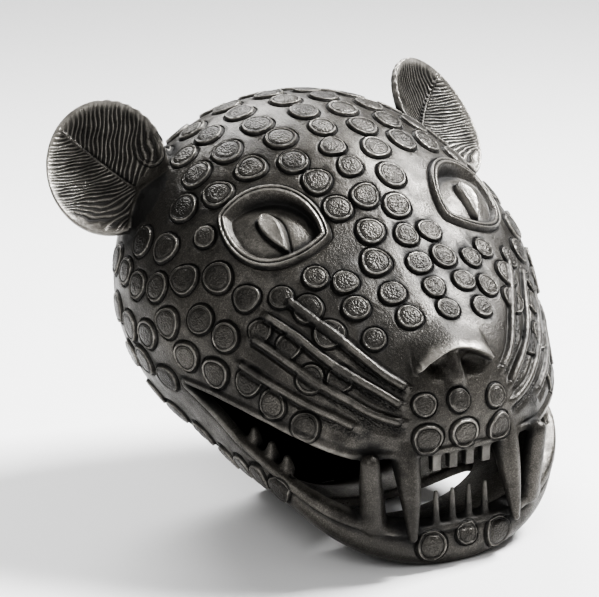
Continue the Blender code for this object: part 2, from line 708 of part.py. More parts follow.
def oval(width, height, rise):
    """An oval outline of the given size, its middle raised by the rise."""
    turns = [2.0 * pi * k / OPENING_SIDES for k in range(OPENING_SIDES)]
    return [(width / 2.0 * cos(t), height / 2.0 * sin(t) + rise) for t in turns]


# Outer skin with its spots, eyes, nose and whisker ridges
skin = Skin()
for side in (-1.0, 1.0):
    lay_eye(skin, side)
lay_nose(skin)
for whisker in WHISKERS:
    lay_whisker(skin, whisker)
    lay_whisker(skin, mirrored(whisker))
spots = lay_spots(skin)
ring = skin.spread(OUTER_PITCH, 0.62 * OUTER_PITCH)
head = make_object("leopard_head", skin.build("leopard_head", ring, 1.0))

for name, side in (("ear_left", -1.0), ("ear_right", 1.0)):
    combine(head, make_ear(name, side), "UNION")

# Hollow inside: the form drawn in by the wall, and by the depth of the eyes and nostrils
hollow = Skin()
for side in (-1.0, 1.0):
    flip = np.array([side, 1.0, 1.0])
    foot, out, first, second = frame_at(EYE_MIDDLE, EYE_ALONG)
    hollow.add(foot * flip, WALL + EYE_DEPTH)
    for grow, lift in ((-LID_WIDTH, WALL + EYE_DEPTH), (EYE_POCKET_MARGIN, WALL)):
        turned = [(foot + a * first + b * second) * flip for a, b in eye_ring(grow, POCKET_SIDES)]
        hollow.line(turned, [lift] * POCKET_SIDES, closed=True)
ring = hollow.spread(INNER_PITCH, 0.6 * INNER_PITCH)
hollow.lifts = [max(lift, WALL) for lift in hollow.lifts]
cavity = make_object("cavity", hollow.build("cavity", ring, -1.0))

box = [(-REACH, -REACH), (REACH, -REACH), (REACH, REACH), (-REACH, REACH)]
x_axis, y_axis, z_axis = np.eye(3)
neck_up = np.cross(x_axis, NECK_NORMAL)
beyond = NECK_NORMAL * REACH
keep = prism("cavity_end", box, NECK_MIDDLE - NECK_NORMAL * BACK_WALL, x_axis, neck_up, beyond)
combine(cavity, keep, "DIFFERENCE")
combine(head, cavity, "DIFFERENCE")

# Neck, cut flat, and the oval opening high in its wall
combine(head, prism("neck_cut", box, NECK_MIDDLE, x_axis, neck_up, beyond), "DIFFERENCE")
opening = oval(NECK_OPENING_WIDTH, NECK_OPENING_HEIGHT, NECK_OPENING_RISE)
inside_wall = NECK_MIDDLE - NECK_NORMAL * (BACK_WALL + WALL)
combine(head, prism("neck_opening", opening, inside_wall, x_axis, neck_up, beyond), "DIFFERENCE")

# Mouth wedge through both cheeks and the front
combine(head, prism("mouth", MOUTH, -REACH * x_axis, y_axis, z_axis, 2.0 * REACH * x_axis), "DIFFERENCE")

# Throat slot across the underside, cut up into the hollow
throat = oval(THROAT_WIDTH, THROAT_LENGTH, 0.0)
throat_floor = grid(0.0, -1.45, -2.0)
throat_rise = grid(0.0, 0.0, 4.5)
combine(head, prism("throat", throat, throat_floor, x_axis, y_axis, throat_rise), "DIFFERENCE")

# Teeth, cast on, and the flat on which the head stands
combine(head, make_teeth(), "UNION")
floor = TABLE_LEVEL * z_axis - REACH * z_axis
combine(head, prism("table", box, floor, x_axis, y_axis, REACH * z_axis), "DIFFERENCE")

# Dark patinated brass
brass = bpy.data.materials.new("brass")
brass.use_nodes = True
shader = brass.node_tree.nodes["Principled BSDF"]
shader.inputs["Base Color"].default_value = (0.055, 0.048, 0.038, 1.0)
shader.inputs["Metallic"].default_value = 0.85
shader.inputs["Roughness"].default_value = 0.42
head.data.materials.append(brass)

# The table flat comes to z = 0 and the middle of the casting to x = y = 0.
bpy.context.view_layer.update()
cast = head.evaluated_get(bpy.context.evaluated_depsgraph_get())
corners = np.array([tuple(v.co) for v in cast.data.vertices])
middle = (corners.min(axis=0) + corners.max(axis=0)) / 2.0
for obj in bpy.data.objects:
    obj.location = (-middle[0], -middle[1], -TABLE_LEVEL)
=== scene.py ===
from math import cos, pi, radians, sin

import bpy
import numpy as np
from mathutils import Matrix, Vector


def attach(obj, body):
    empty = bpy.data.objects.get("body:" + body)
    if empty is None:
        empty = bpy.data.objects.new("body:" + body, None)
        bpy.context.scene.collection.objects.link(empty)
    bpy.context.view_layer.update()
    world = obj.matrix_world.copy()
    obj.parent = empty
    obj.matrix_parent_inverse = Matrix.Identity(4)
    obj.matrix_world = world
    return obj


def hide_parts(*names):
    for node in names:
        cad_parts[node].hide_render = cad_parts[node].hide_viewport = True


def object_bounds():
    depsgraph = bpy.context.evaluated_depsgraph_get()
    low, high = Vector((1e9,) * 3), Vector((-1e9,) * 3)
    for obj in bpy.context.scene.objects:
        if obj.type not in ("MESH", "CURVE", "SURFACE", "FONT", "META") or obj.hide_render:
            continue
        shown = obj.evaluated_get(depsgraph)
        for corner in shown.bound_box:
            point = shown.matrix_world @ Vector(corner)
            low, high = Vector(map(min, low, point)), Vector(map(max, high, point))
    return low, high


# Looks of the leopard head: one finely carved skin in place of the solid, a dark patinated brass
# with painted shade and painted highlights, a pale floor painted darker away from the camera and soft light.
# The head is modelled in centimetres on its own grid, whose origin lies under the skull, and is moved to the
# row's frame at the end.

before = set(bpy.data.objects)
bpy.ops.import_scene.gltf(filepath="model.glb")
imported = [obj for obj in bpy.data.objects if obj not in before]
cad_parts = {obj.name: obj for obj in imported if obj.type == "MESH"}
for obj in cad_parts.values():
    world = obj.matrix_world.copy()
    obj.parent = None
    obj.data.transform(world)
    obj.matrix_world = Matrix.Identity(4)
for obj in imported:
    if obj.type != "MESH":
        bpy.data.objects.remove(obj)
cad_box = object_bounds()

CELL = 0.047
FACE_BUDGET = 194000
ROW_ORIGIN = np.array([0.0, 1.76496, -0.12])
F = np.float32

# Casting
WALL = 0.38
BACK_WALL = 0.45
NECK_OPENING = (4.2, 3.6)
NECK_OPENING_RISE = 1.5
TABLE = -0.12
THROAT = (3.7, 1.0)
THROAT_Y = -1.45
THROAT_TOP = 2.5
MOUTH_ROUND = 0.14
THROAT_ROUND = 0.10
TEETH_FLOW = 0.16

# Spots
SPOT_DIAMETER = 1.22
SPOT_SMALLEST = 0.92
SPOT_GAP = 0.09
SPOT_FILL_PITCH = 1.52
SPOT_HEIGHT = 0.105
PLAIN_BAND = 0.95
SPOT_SEED = 11
NO_SPOT = 2.0

# Whiskers, eyes, nose and ears
WHISKER_WIDTH = 0.14
WHISKER_HEIGHT = 0.23
EYE_HALF = 2.10
EYE_UPPER = 1.55
EYE_LOWER = 1.80
EYE_DEPTH = 0.52
LID_WIDTH = 0.36
LID_HEIGHT = 0.15
NOSE_HALF = 1.56
NOSE_HEIGHT = 0.60
EAR_HALF = (2.30, 2.75)
EAR_THICK = 0.34
EAR_CUP = 0.80

# Free form: centre, half sizes and tilt of the ellipsoids that flow into one another
SKULL = ((0.0, 4.04, 7.84), (7.74, 7.66, 6.47), -39.0)
CHEEK = ((2.73, 2.08, 7.79), (4.69, 5.15, 3.40), -7.5)
MUZZLE = ((0.0, -1.40, 4.98), (6.42, 5.31, 4.93), -3.9)
JAW = ((0.0, -3.42, 3.21), (5.57, 4.51, 1.76), -45.6)
BRIDGE = ((0.0, -1.48, 8.68), (1.90, 5.14, 1.54), -47.5)
KEEL = ((0.0, 2.90, 0.98), (3.30, 2.70, 1.45), 12.0)
CENTRE = np.array([0.0, 1.0, 6.5])
REACH = 20.0
HALVINGS = 28
MEAN_RADIUS = 7.4

# Widths over which the ellipsoids flow into one another
CHEEK_FLOW = 2.0
MUZZLE_FLOW = 2.0
JAW_FLOW = 1.5
BRIDGE_FLOW = 1.2
KEEL_FLOW = 0.8

NECK_POINT = np.array([0.0, 3.60, 0.0])
NECK_NORMAL = np.array([0.0, 0.864, -0.503])
NECK_NORMAL = NECK_NORMAL / np.linalg.norm(NECK_NORMAL)
NECK_UP = np.cross([1.0, 0.0, 0.0], NECK_NORMAL)
NECK_MIDDLE = np.array([0.0, 6.70, 5.33])

MOUTH = np.array([
    (0.75, 5.78), (-0.60, 5.70), (-2.00, 5.50), (-3.30, 5.22), (-4.40, 4.82), (-5.60, 4.20), (-9.00, 4.15),
    (-9.00, 1.50), (-6.50, 1.56), (-5.55, 2.20), (-4.60, 2.90), (-3.60, 3.52), (-2.60, 3.92), (-1.60, 4.30),
    (-0.60, 4.98),
])

WHISKERS = [
    [(4.82, -2.09, 9.55), (4.14, -3.39, 8.80), (3.79, -3.95, 8.46), (3.24, -4.83, 7.83), (2.65, -5.58, 7.19),
     (1.85, -6.15, 6.62)],
    [(5.64, -1.86, 9.00), (4.92, -3.13, 8.38), (4.21, -4.38, 7.58), (3.49, -5.26, 7.02), (2.81, -5.85, 6.55),
     (2.13, -6.28, 5.99)],
    [(6.19, -1.80, 8.23), (5.75, -2.59, 7.90), (5.10, -3.79, 7.25), (4.67, -4.46, 6.85), (4.00, -5.25, 6.40),
     (3.24, -5.87, 5.88), (2.10, -6.39, 5.45)],
    [(6.58, -1.67, 7.27), (6.11, -2.67, 6.86), (5.62, -3.60, 6.48), (5.01, -4.50, 6.07), (4.45, -5.12, 5.78),
     (3.75, -5.69, 5.36)],
]

MIDDLE_ROWS = [
    [(-1.05, -4.65), (-1.25, -3.80), (-1.30, -2.70), (-0.95, -1.75), (-0.55, -0.70), (-0.55, 0.40),
     (-0.72, 1.35), (-0.55, 2.40), (-0.65, 3.60), (-0.70, 4.90), (-0.70, 6.20), (-0.70, 7.50), (-0.70, 8.70)],
    [(0.58, -4.65), (0.45, -3.90), (0.33, -3.05), (0.36, -2.10), (0.54, -1.15), (0.95, -0.10), (0.95, 1.05),
     (1.10, 2.20), (0.95, 3.45), (0.90, 4.75), (0.85, 6.00), (0.80, 7.30), (0.80, 8.50)],
    [(-2.60, -4.75), (-2.75, -3.75), (-2.70, -2.90), (-2.15, -1.75), (-1.75, -0.75), (-2.00, 0.30),
     (-2.40, 1.35), (-2.25, 2.55), (-2.55, 3.80), (-2.50, 5.25), (-2.30, 6.60), (-2.20, 7.95)],
    [(2.10, -4.55), (1.85, -3.70), (1.50, -2.85), (1.45, -1.95), (1.88, -0.90), (2.50, 0.50), (2.45, 1.60),
     (2.55, 2.80), (2.50, 4.10), (2.45, 5.45), (2.35, 6.80), (2.30, 8.00)],
    [(2.85, -3.75), (2.75, -2.80), (2.60, -5.00)],
]
BROW_ROWS = [
    [(-3.80, 2.05), (-4.05, 3.40), (-3.95, 5.00), (-3.90, 6.40), (-3.80, 7.80)],
    [(-5.15, 2.15), (-5.25, 3.60), (-5.00, 5.00)],
    [(-6.15, 1.30), (-6.15, 2.95)],
    [(-7.10, 2.60), (-7.30, 4.05)],
]
CHEEK_ROWS = [
    [(-2.30, 10.10), (-2.00, 9.50), (-1.25, 9.40), (-0.05, 9.95), (1.10, 9.70), (2.20, 9.20), (3.40, 9.00),
     (4.60, 9.20), (5.90, 9.30)],
    [(-3.85, 8.55), (-2.80, 9.35), (-3.10, 8.05), (-2.20, 8.45), (-1.15, 8.05), (-0.10, 8.50), (1.30, 8.10),
     (2.50, 7.35), (3.90, 7.30), (5.25, 7.60)],
    [(-4.25, 6.80), (-2.15, 6.65), (-0.90, 6.65), (0.40, 7.00), (1.90, 5.75), (3.25, 6.10), (4.60, 5.95)],
    [(-5.45, 5.35), (-4.50, 5.50), (-3.35, 6.10)],
    [(-6.30, 1.20), (-5.45, 1.90), (-4.70, 2.30), (-3.50, 2.80), (-2.30, 2.95), (-1.05, 2.95), (0.30, 2.85),
     (1.70, 3.40), (3.10, 3.90), (4.30, 4.40)],
]
FRONT_ROWS = [
    [(-1.50, 6.10), (-0.15, 6.10), (1.50, 5.95)],
    [(-1.45, 4.85), (0.03, 4.87), (1.60, 4.80)],
    [(0.10, 1.05), (1.50, 0.80), (-1.35, 0.80)],
]
FILL_FROM = 5.0
# Spots that the whisker ridges run over or touch, with their radii
OVERRUN = [
    ((4.89, -2.08, 9.50), 0.46), ((4.25, -2.91, 9.19), 0.57), ((3.94, -3.85, 8.46), 0.58),
    ((5.81, -2.16, 8.41), 0.46), ((5.22, -3.15, 7.99), 0.50), ((4.90, -4.15, 7.02), 0.55),
    ((4.07, -4.83, 7.07), 0.50), ((6.40, -2.30, 6.62), 0.56), ((5.85, -3.20, 6.00), 0.56),
    ((5.30, -4.45, 5.35), 0.56),
]

EAR_MIDDLE = np.array([7.35, 6.75, 12.69])
EAR_ACROSS = np.array([0.897, 0.414, -0.155])
EAR_OUT = np.array([0.418, -0.681, 0.601])
EAR_OUT = EAR_OUT / np.linalg.norm(EAR_OUT)
EAR_ACROSS = EAR_ACROSS - EAR_OUT * (EAR_ACROSS @ EAR_OUT)
EAR_ACROSS = EAR_ACROSS / np.linalg.norm(EAR_ACROSS)
EAR_ALONG = np.cross(EAR_OUT, EAR_ACROSS)
EAR_ROOT = np.array([6.30, 5.10, 11.80])
EYE_MIDDLE = np.array([4.15, -0.09, 11.69])
EYE_ALONG = np.array([0.732, 0.672, 0.110])
NOSE_MIDDLE = np.array([0.0, -5.70, 7.70])


def unit(v):
    return v / np.linalg.norm(v, axis=-1, keepdims=True)


def mirrored(points):
    """The points, with those of the left half moved to their places in the right half."""
    return np.column_stack([np.abs(points[:, 0]), points[:, 1:]])


def step(low, high, x):
    t = np.clip((x - low) / (high - low), 0.0, 1.0)
    return t * t * (3.0 - 2.0 * t)


def bell(x, width):
    return np.exp(-(x / width) ** 2)


def ellipsoid(x, y, z, centre, half, tilt):
    t = radians(tilt)
    x = x - F(centre[0])
    y = y - F(centre[1])
    z = z - F(centre[2])
    u = y * F(cos(t)) - z * F(sin(t))
    v = y * F(sin(t)) + z * F(cos(t))
    a, b, c = (x / F(half[0])) ** 2, (u / F(half[1])) ** 2, (v / F(half[2])) ** 2
    near = np.sqrt(a + b + c)
    slope = np.sqrt(a / F(half[0] ** 2) + b / F(half[1] ** 2) + c / F(half[2] ** 2)) + F(1e-6)
    return near * (near - F(1.0)) / slope


def union(a, b, width):
    """The nearer of two forms, flowing into one another over the width."""
    h = np.clip(0.5 + 0.5 * (b - a) / width, 0.0, 1.0)
    return b + (a - b) * h - width * h * (1.0 - h)


def common(a, b, width):
    return -union(-a, -b, width)


def form(p):
    x, y, z = p[:, 0], p[:, 1], p[:, 2]
    d = ellipsoid(x, y, z, *SKULL)
    d = union(d, ellipsoid(np.abs(x), y, z, *CHEEK), F(CHEEK_FLOW))
    d = union(d, ellipsoid(x, y, z, *MUZZLE), F(MUZZLE_FLOW))
    d = union(d, ellipsoid(x, y, z, *JAW), F(JAW_FLOW))
    d = union(d, ellipsoid(x, y, z, *BRIDGE), F(BRIDGE_FLOW))
    return union(d, ellipsoid(x, y, z, *KEEL), F(KEEL_FLOW))


def surface(points):
    """Points moved along their rays from the middle of the head onto the form."""
    rays = unit(np.atleast_2d(points) - CENTRE)
    low = np.zeros(len(rays))
    high = np.full(len(rays), REACH)
    for _ in range(HALVINGS):
        mid = (low + high) / 2.0
        inside = form(CENTRE + rays * mid[:, None]) < 0.0
        low = np.where(inside, mid, low)
        high = np.where(inside, high, mid)
    return CENTRE + rays * ((low + high) / 2.0)[:, None]


def reach(start, direction):
    start, direction = np.array(start, float), np.array(direction, float)
    low, high = 0.0, REACH
    for _ in range(HALVINGS):
        mid = (low + high) / 2.0
        low, high = (mid, high) if form((start + direction * mid)[None])[0] < 0.0 else (low, mid)
    return start + direction * low


def normals(points):
    return unit(np.stack([form(points + 0.01 * a) - form(points - 0.01 * a) for a in np.eye(3)], axis=1))


def sphere_rays(pitch, radius):
    count = int(4.0 * pi * radius ** 2 / pitch ** 2)
    k = np.arange(count) + 0.5
    height = 1.0 - 2.0 * k / count
    turn = k * pi * (3.0 - 5.0 ** 0.5)
    flat = np.sqrt(1.0 - height ** 2)
    return np.stack([flat * np.cos(turn), flat * np.sin(turn), height], axis=1)


def frame_at(point, lean):
    foot = surface(point)[0]
    out = normals(foot[None])[0]
    first = unit(lean - out * np.dot(lean, out))
    second = np.cross(out, first)
    return foot, out, first, second if second[2] > 0.0 else -second


def local(p, place):
    """Coordinates of points in a feature's plane, along rays from the middle of the head."""
    foot, out, first, second = place
    rays = p - CENTRE
    q = CENTRE + rays * (((foot - CENTRE) @ out) / (rays @ out))[:, None] - foot
    return q @ first, q @ second


def polyline(p, line):
    """Distance to a polyline, the share of its length at the nearest point, and that point."""
    best = np.full(len(p), 1e9)
    share = np.zeros(len(p))
    foot = np.zeros(p.shape)
    lengths = np.linalg.norm(np.diff(line, axis=0), axis=1)
    total, start = lengths.sum(), 0.0
    for a, b, length in zip(line[:-1], line[1:], lengths):
        run = (b - a) / length
        t = np.clip((p - a) @ run, 0.0, length)
        at = a + t[:, None] * run
        d = np.linalg.norm(p - at, axis=1)
        near = d < best
        best[near] = d[near]
        foot[near] = at[near]
        share[near] = (start + t[near]) / total
        start += length
    return best, share, foot


def outline(p, corners):
    """Signed distance to a closed outline in the plane, negative inside."""
    best = np.full(len(p), 1e9)
    inside = np.zeros(len(p), bool)
    for a, b in zip(corners, np.roll(corners, -1, axis=0)):
        run = b - a
        t = np.clip(((p - a) @ run) / (run @ run), 0.0, 1.0)
        q = p - a - t[:, None] * run
        best = np.minimum(best, q[:, 0] ** 2 + q[:, 1] ** 2)
        if a[1] != b[1]:
            crosses = (a[1] > p[:, 1]) != (b[1] > p[:, 1])
            inside ^= crosses & (p[:, 0] < run[0] * (p[:, 1] - a[1]) / run[1] + a[0])
    return np.sqrt(best) * np.where(inside, -1.0, 1.0)


def smooth_line(points, count):
    """A smooth line through the given points, put onto the form."""
    points = np.array(points, float)
    ends = np.vstack([2 * points[0] - points[1], points, 2 * points[-1] - points[-2]])
    out = []
    for k in range(1, len(ends) - 2):
        a, b, c, d = ends[k - 1:k + 3]
        for t in np.linspace(0.0, 1.0, count, endpoint=False):
            out.append(0.5 * (2 * b + (c - a) * t + (2 * a - 5 * b + 4 * c - d) * t * t
                              + (3 * b - a - 3 * c + d) * t ** 3))
    out.append(points[-1])
    return surface(np.array(out))


def eye_ring(grow, count):
    t = 2.0 * pi * np.arange(count) / count
    high = np.where(np.sin(t) > 0.0, EYE_UPPER, EYE_LOWER) + grow
    rise = np.sign(np.sin(t)) * high * np.abs(np.sin(t)) ** 1.5
    return np.stack([(EYE_HALF + grow) * np.cos(t), rise], axis=1)


EYE = frame_at(EYE_MIDDLE, EYE_ALONG)
NOSE = frame_at(NOSE_MIDDLE, np.array([1.0, 0.0, 0.0]))
EYE_EDGE = eye_ring(0.0, 72)
WHISKER_LINES = [smooth_line(line, 4) for line in WHISKERS]


def wanted_spots():
    mirror = np.array([-1.0, 1.0, 1.0])
    wanted = []
    for row in MIDDLE_ROWS:
        wanted += [reach((x, y, 7.0), (0, 0, 1)) for x, y in row]
    for row in FRONT_ROWS:
        wanted += [reach((x, 0.0, z), (0, -1, 0)) for x, z in row]
    for row in BROW_ROWS:
        points = [reach((x, y, 7.0), (0, 0, 1)) for x, y in row]
        wanted += points + [p * mirror for p in points]
    for row in CHEEK_ROWS:
        points = [reach((0.0, y, z), (-1, 0, 0)) for y, z in row]
        wanted += points + [p * mirror for p in points]
    for p in surface(CENTRE + sphere_rays(0.3 * SPOT_FILL_PITCH, MEAN_RADIUS)):
        if p[1] > FILL_FROM and np.min(np.linalg.norm(np.array(wanted) - p, axis=1)) > SPOT_FILL_PITCH:
            wanted.append(p)
    return np.array(wanted)


def lay_spots():
    """Middles and radii of the spots with their heights, those that the whiskers run over first."""
    rows = []
    for q, radius in OVERRUN:
        for side in (-1.0, 1.0):
            rows.append((surface(np.array(q) * np.array([side, 1.0, 1.0]))[0], radius, 0.85))
    wanted = wanted_spots()
    lid = surface(EYE[0] + eye_ring(0.09, 40) @ np.array([EYE[2], EYE[3]]))
    for k, p in enumerate(wanted):
        apart = np.delete(np.linalg.norm(wanted - p, axis=1), k)
        radius = min(SPOT_DIAMETER, max(SPOT_SMALLEST, apart.min() - SPOT_GAP)) / 2.0
        for r in (radius, SPOT_SMALLEST / 2.0):
            if all(np.linalg.norm(p - q) > r + other for q, other, _ in rows) and spot_fits(p, r, lid):
                rows.append((p, r, 1.0))
                break
    return rows


def spot_fits(p, radius, lid):
    right = p * np.array([np.sign(p[0]) or 1.0, 1.0, 1.0])
    if (p - NECK_POINT) @ NECK_NORMAL > -(radius + PLAIN_BAND) or p[2] < 0.9 * radius:
        return False
    if np.linalg.norm(right - EAR_ROOT) < 1.75 + 0.2 * radius:
        return False
    if min(polyline(right[None], line)[0][0] for line in WHISKER_LINES) < radius + 0.19:
        return False
    if np.linalg.norm(right - EYE[0]) < EYE_UPPER:
        return False
    if np.linalg.norm(lid - right, axis=1).min() < radius + 0.04:
        return False
    a, b = (p - NOSE[0]) @ NOSE[2], (p - NOSE[0]) @ NOSE[3]
    if abs(a) < NOSE_HALF + 0.8 * radius and -0.76 * NOSE_HALF - radius < b < 0.52 * NOSE_HALF + radius:
        return False
    return outline(p[None, 1:], MOUTH)[0] > radius


SPOTS = lay_spots()
SPOT_AT = np.array([s[0] for s in SPOTS])
SPOT_R = np.array([s[1] for s in SPOTS])
SPOT_H = np.array([s[2] for s in SPOTS])
SPOT_OUT = normals(SPOT_AT)
SPOT_A = unit(np.cross(SPOT_OUT, np.array([0.31, 0.17, 0.94])))
SPOT_B = np.cross(SPOT_OUT, SPOT_A)
rng = np.random.default_rng(SPOT_SEED)
SPOT_LEAN = rng.uniform(0.0, pi, len(SPOTS))
SPOT_OVAL = rng.uniform(0.0, 0.10, len(SPOTS))
SPOT_LOBE = rng.uniform(0.0, 0.05, len(SPOTS))
SPOT_SHIFT = rng.uniform(-0.10, 0.10, (len(SPOTS), 2))
SPOT_DENT = rng.uniform(0.3, 1.0, len(SPOTS))

# The two nearest spots of every quarter centimetre of space
LOOK_LOW = np.array([-10.0, -7.6, -0.6])
LOOK_PITCH = 0.25
LOOK_SIZE = np.array([81, 76, 66])
cells = np.stack(np.meshgrid(*[np.arange(n) for n in LOOK_SIZE], indexing="ij"), axis=-1).reshape(-1, 3)
middles = LOOK_LOW + (cells + 0.5) * LOOK_PITCH
first_two = np.zeros((len(middles), 2), np.int32)
for start in range(0, len(middles), 20000):
    block = middles[start:start + 20000]
    gaps = np.linalg.norm(block[:, None] - SPOT_AT[None], axis=2) - SPOT_R
    first_two[start:start + 20000] = np.argsort(gaps, axis=1)[:, :2]
NEAREST = first_two.reshape(*LOOK_SIZE, 2)


def spot_relief(p):
    """Height of the spots, how far out in the nearest one points lie, 2 in none, and its kind."""
    cell = np.clip(((p - LOOK_LOW) / LOOK_PITCH).astype(int), 0, LOOK_SIZE - 1)
    pair = NEAREST[cell[:, 0], cell[:, 1], cell[:, 2]]
    total = np.zeros(len(p))
    share = np.full(len(p), NO_SPOT)
    disc = np.zeros(len(p))
    for k in (0, 1):
        i = pair[:, k]
        q = p - SPOT_AT[i]
        a = (q * SPOT_A[i]).sum(axis=1)
        b = (q * SPOT_B[i]).sum(axis=1)
        away = np.abs((q * SPOT_OUT[i]).sum(axis=1))
        turn = np.arctan2(b, a)
        radius = SPOT_R[i] * (0.97 + SPOT_OVAL[i] * np.cos(2.0 * (turn - SPOT_LEAN[i])) * 0.5
                              + SPOT_LOBE[i] * np.cos(3.0 * turn + SPOT_LEAN[i] * 5.0))
        s = np.hypot(a, b) / radius
        core = np.hypot(a - SPOT_SHIFT[i, 0], b - SPOT_SHIFT[i, 1]) / radius
        h = SPOT_HEIGHT * (1.0 - step(0.90, 1.0, s)) + 0.014 * bell(s - 0.92, 0.05)
        h = h - 0.034 * SPOT_DENT[i] * bell(s - 0.77, 0.065) - 0.014 * SPOT_DENT[i] * bell(core - 0.24, 0.10)
        h = h - 0.040 * bell(s - 1.08, 0.065)
        near = (s < 1.4) & (away < 0.9)
        total += np.where(near, h * SPOT_H[i], 0.0)
        share = np.where(near, np.minimum(share, s), share)
        disc = np.where(s < 1.06, SPOT_DENT[i], disc)
    return total, share, disc


def whisker_relief(p):
    """Height of the whisker cords, with the distance from the nearest cord and whether it is above."""
    h = np.zeros(len(p))
    nearest = np.full(len(p), 1.0)
    under = np.zeros(len(p))
    for line in WHISKER_LINES:
        d, t, at = polyline(p, line)
        run = unit(line[-1] - line[0])
        side = np.cross(unit(np.mean(line, axis=0) - CENTRE), run)
        side = side if side[2] < 0.0 else -side
        below = ((p - at) @ side) > 0.0
        ends = step(0.0, 0.05, t) * (1.0 - step(0.94, 1.0, t))
        width = WHISKER_WIDTH + 0.04 * t
        cord = np.clip(1.0 - (d / width) ** 2, 0.0, 1.0) ** 0.7
        h += ends * WHISKER_HEIGHT * (0.75 + 0.25 * t) * cord
        late = step(0.45, 0.85, t)
        cut = np.where(below, (0.06 + 0.10 * late) * bell(d - width - 0.06 - 0.06 * late, 0.08 + 0.10 * late),
                       0.035 * bell(d - width - 0.03, 0.06))
        h -= ends * cut * (d < 0.6)
        d = d + (1.0 - ends)
        # under weighs the dark line beside the cord: heavier on its lower side, as painted shade
        under = np.where(d < nearest, np.where(below, 0.80 + 0.20 * late, 0.45), under)
        nearest = np.minimum(nearest, d)
    return h, nearest, under


def eye_relief(p):
    """Height of the eye, with the distance inside its outline and inside the pupil's."""
    a, b = local(p, EYE)
    s = -outline(np.stack([a, b], axis=1), EYE_EDGE)
    h = LID_HEIGHT * step(-0.09, 0.0, s) * (1.0 - 0.25 * step(0.05, 0.27, s))
    h -= 0.045 * bell(s - 0.095, 0.030) + 0.03 * bell(s + 0.12, 0.04)
    dome = np.clip(1.0 - (a / 2.1) ** 2 - (b / 1.9) ** 2, 0.0, 1.0)
    ball = -0.17 - 0.33 * step(-0.5, 1.3, b) + 0.17 * dome
    iris = np.hypot((a + 0.03) / 1.16, (b + 0.10) / 1.0)
    ball -= 0.014 * bell(iris - 1.0, 0.05)
    c, e = a + 0.19, b + 0.36
    along = -(c * 0.69 + e * 0.72)
    across = -c * 0.72 + e * 0.69
    t = np.clip((along + 0.95) / 1.90, 0.0, 1.0)
    half = 0.36 * np.sin(pi * t ** 0.68) ** 0.80
    edge = np.where(np.abs(along) < 0.95, half - np.abs(across), -0.3)
    ball += 0.17 * step(-0.05, 0.05, edge) - 0.03 * step(0.10, 0.15, edge) - 0.06 * bell(edge + 0.08, 0.06)
    shade = step(0.24, 0.36, s) * step(0.0, 0.9, b) * (1.0 - step(0.50, 0.95, s))
    return h + (ball - h) * step(0.27, 0.36, s), s, np.clip(edge, -0.3, 0.4), shade


def nose_relief(p):
    """A broad winged pad that overhangs a dark hollow on each side of the septum."""
    a, b = local(p, NOSE)
    u, v = a / NOSE_HALF, b / NOSE_HALF
    w = np.abs(u)
    top = 0.95 - 0.40 * w
    edge = 0.12 - 0.46 * w ** 1.7
    rise = np.clip((top - v) / (top - edge), 0.0, 1.0) ** 1.5
    size = (1.0 - 0.40 * np.clip(w, 0.0, 1.0) ** 2) * (1.0 - step(0.92, 1.14, w))
    pad = NOSE_HEIGHT * rise * size * step(edge - 0.13, edge, v)
    below = 1.0 - step(edge - 0.12, edge - 0.02, v)
    bore = -0.40 * bell(w - 0.44, 0.25) * bell(v + 0.36, 0.24)
    septum = 0.34 * bell(u, 0.15) * step(-1.0, -0.55, v)
    return (pad + (bore + septum) * below) * (1.0 - step(1.0, 1.2, w)) * step(-1.2, -0.9, v)


def lip_relief(p):
    s = outline(p[:, 1:], MOUTH)
    return np.where(s > 0.0, 0.06 * (1.0 - step(0.22, 0.30, s)) - 0.045 * bell(s - 0.34, 0.05), 0.0), s


def relief(p):
    """Height of the carving over the form, with the marks that the patina, the painted shade and the painted
    highlights are drawn from.
    """
    right = mirrored(p)
    h, spot, disc = spot_relief(p)
    marks = {"spot": spot, "disc": disc, "cord": np.ones(len(p)), "under": np.zeros(len(p)),
             "lid": np.full(len(p), -0.5), "pupil": np.full(len(p), -0.3), "shade": np.zeros(len(p))}
    m = np.linalg.norm(right - EYE[0], axis=1) < 3.3
    if m.any():
        eye, s, pupil, shade = eye_relief(right[m])
        h[m] = np.where(s > -0.09, eye, h[m] * step(-0.10, -0.16, s) + eye)
        marks["lid"][m] = np.clip(s, -0.5, 1.0)
        marks["shade"][m] = shade
        marks["pupil"][m] = np.where(s > 0.3, pupil, -0.3)
        marks["spot"][m] = np.where(s > -0.14, NO_SPOT, spot[m])
    m = np.linalg.norm(right - NOSE[0], axis=1) < 2.6
    if m.any():
        h[m] += nose_relief(right[m])
    m = (right[:, 1] < -0.6) & (right[:, 2] > 4.0) & (right[:, 2] < 10.4)
    if m.any():
        ridge, cord, under = whisker_relief(right[m])
        h[m] = np.where(ridge > 0.0, np.maximum(h[m], ridge + 0.7 * np.maximum(h[m], 0.0)), h[m] + ridge)
        marks["cord"][m] = cord
        marks["under"][m] = under
        marks["spot"][m] = np.where(cord < 0.19, NO_SPOT, marks["spot"][m])
    m = (right[:, 1] < 1.4) & (right[:, 2] < 6.6)
    if m.any():
        lip, s = lip_relief(right[m])
        h[m] = h[m] * step(0.26, 0.36, s) + lip
    return h, marks


VEE = np.array([(-2.25, -0.66), (-1.48, -0.86), (-1.03, -1.06), (-0.65, -1.72), (-0.30, -2.95)])
VEE_AREA = np.vstack([VEE, [(-2.4, -3.4), (-3.4, -1.2)]])
VEE_LINE = np.column_stack([VEE, np.zeros(len(VEE))])
RIB_FOOT = np.array([-1.03, -1.06])
RIB_RUN = np.array([2.54, 2.89]) / 3.848


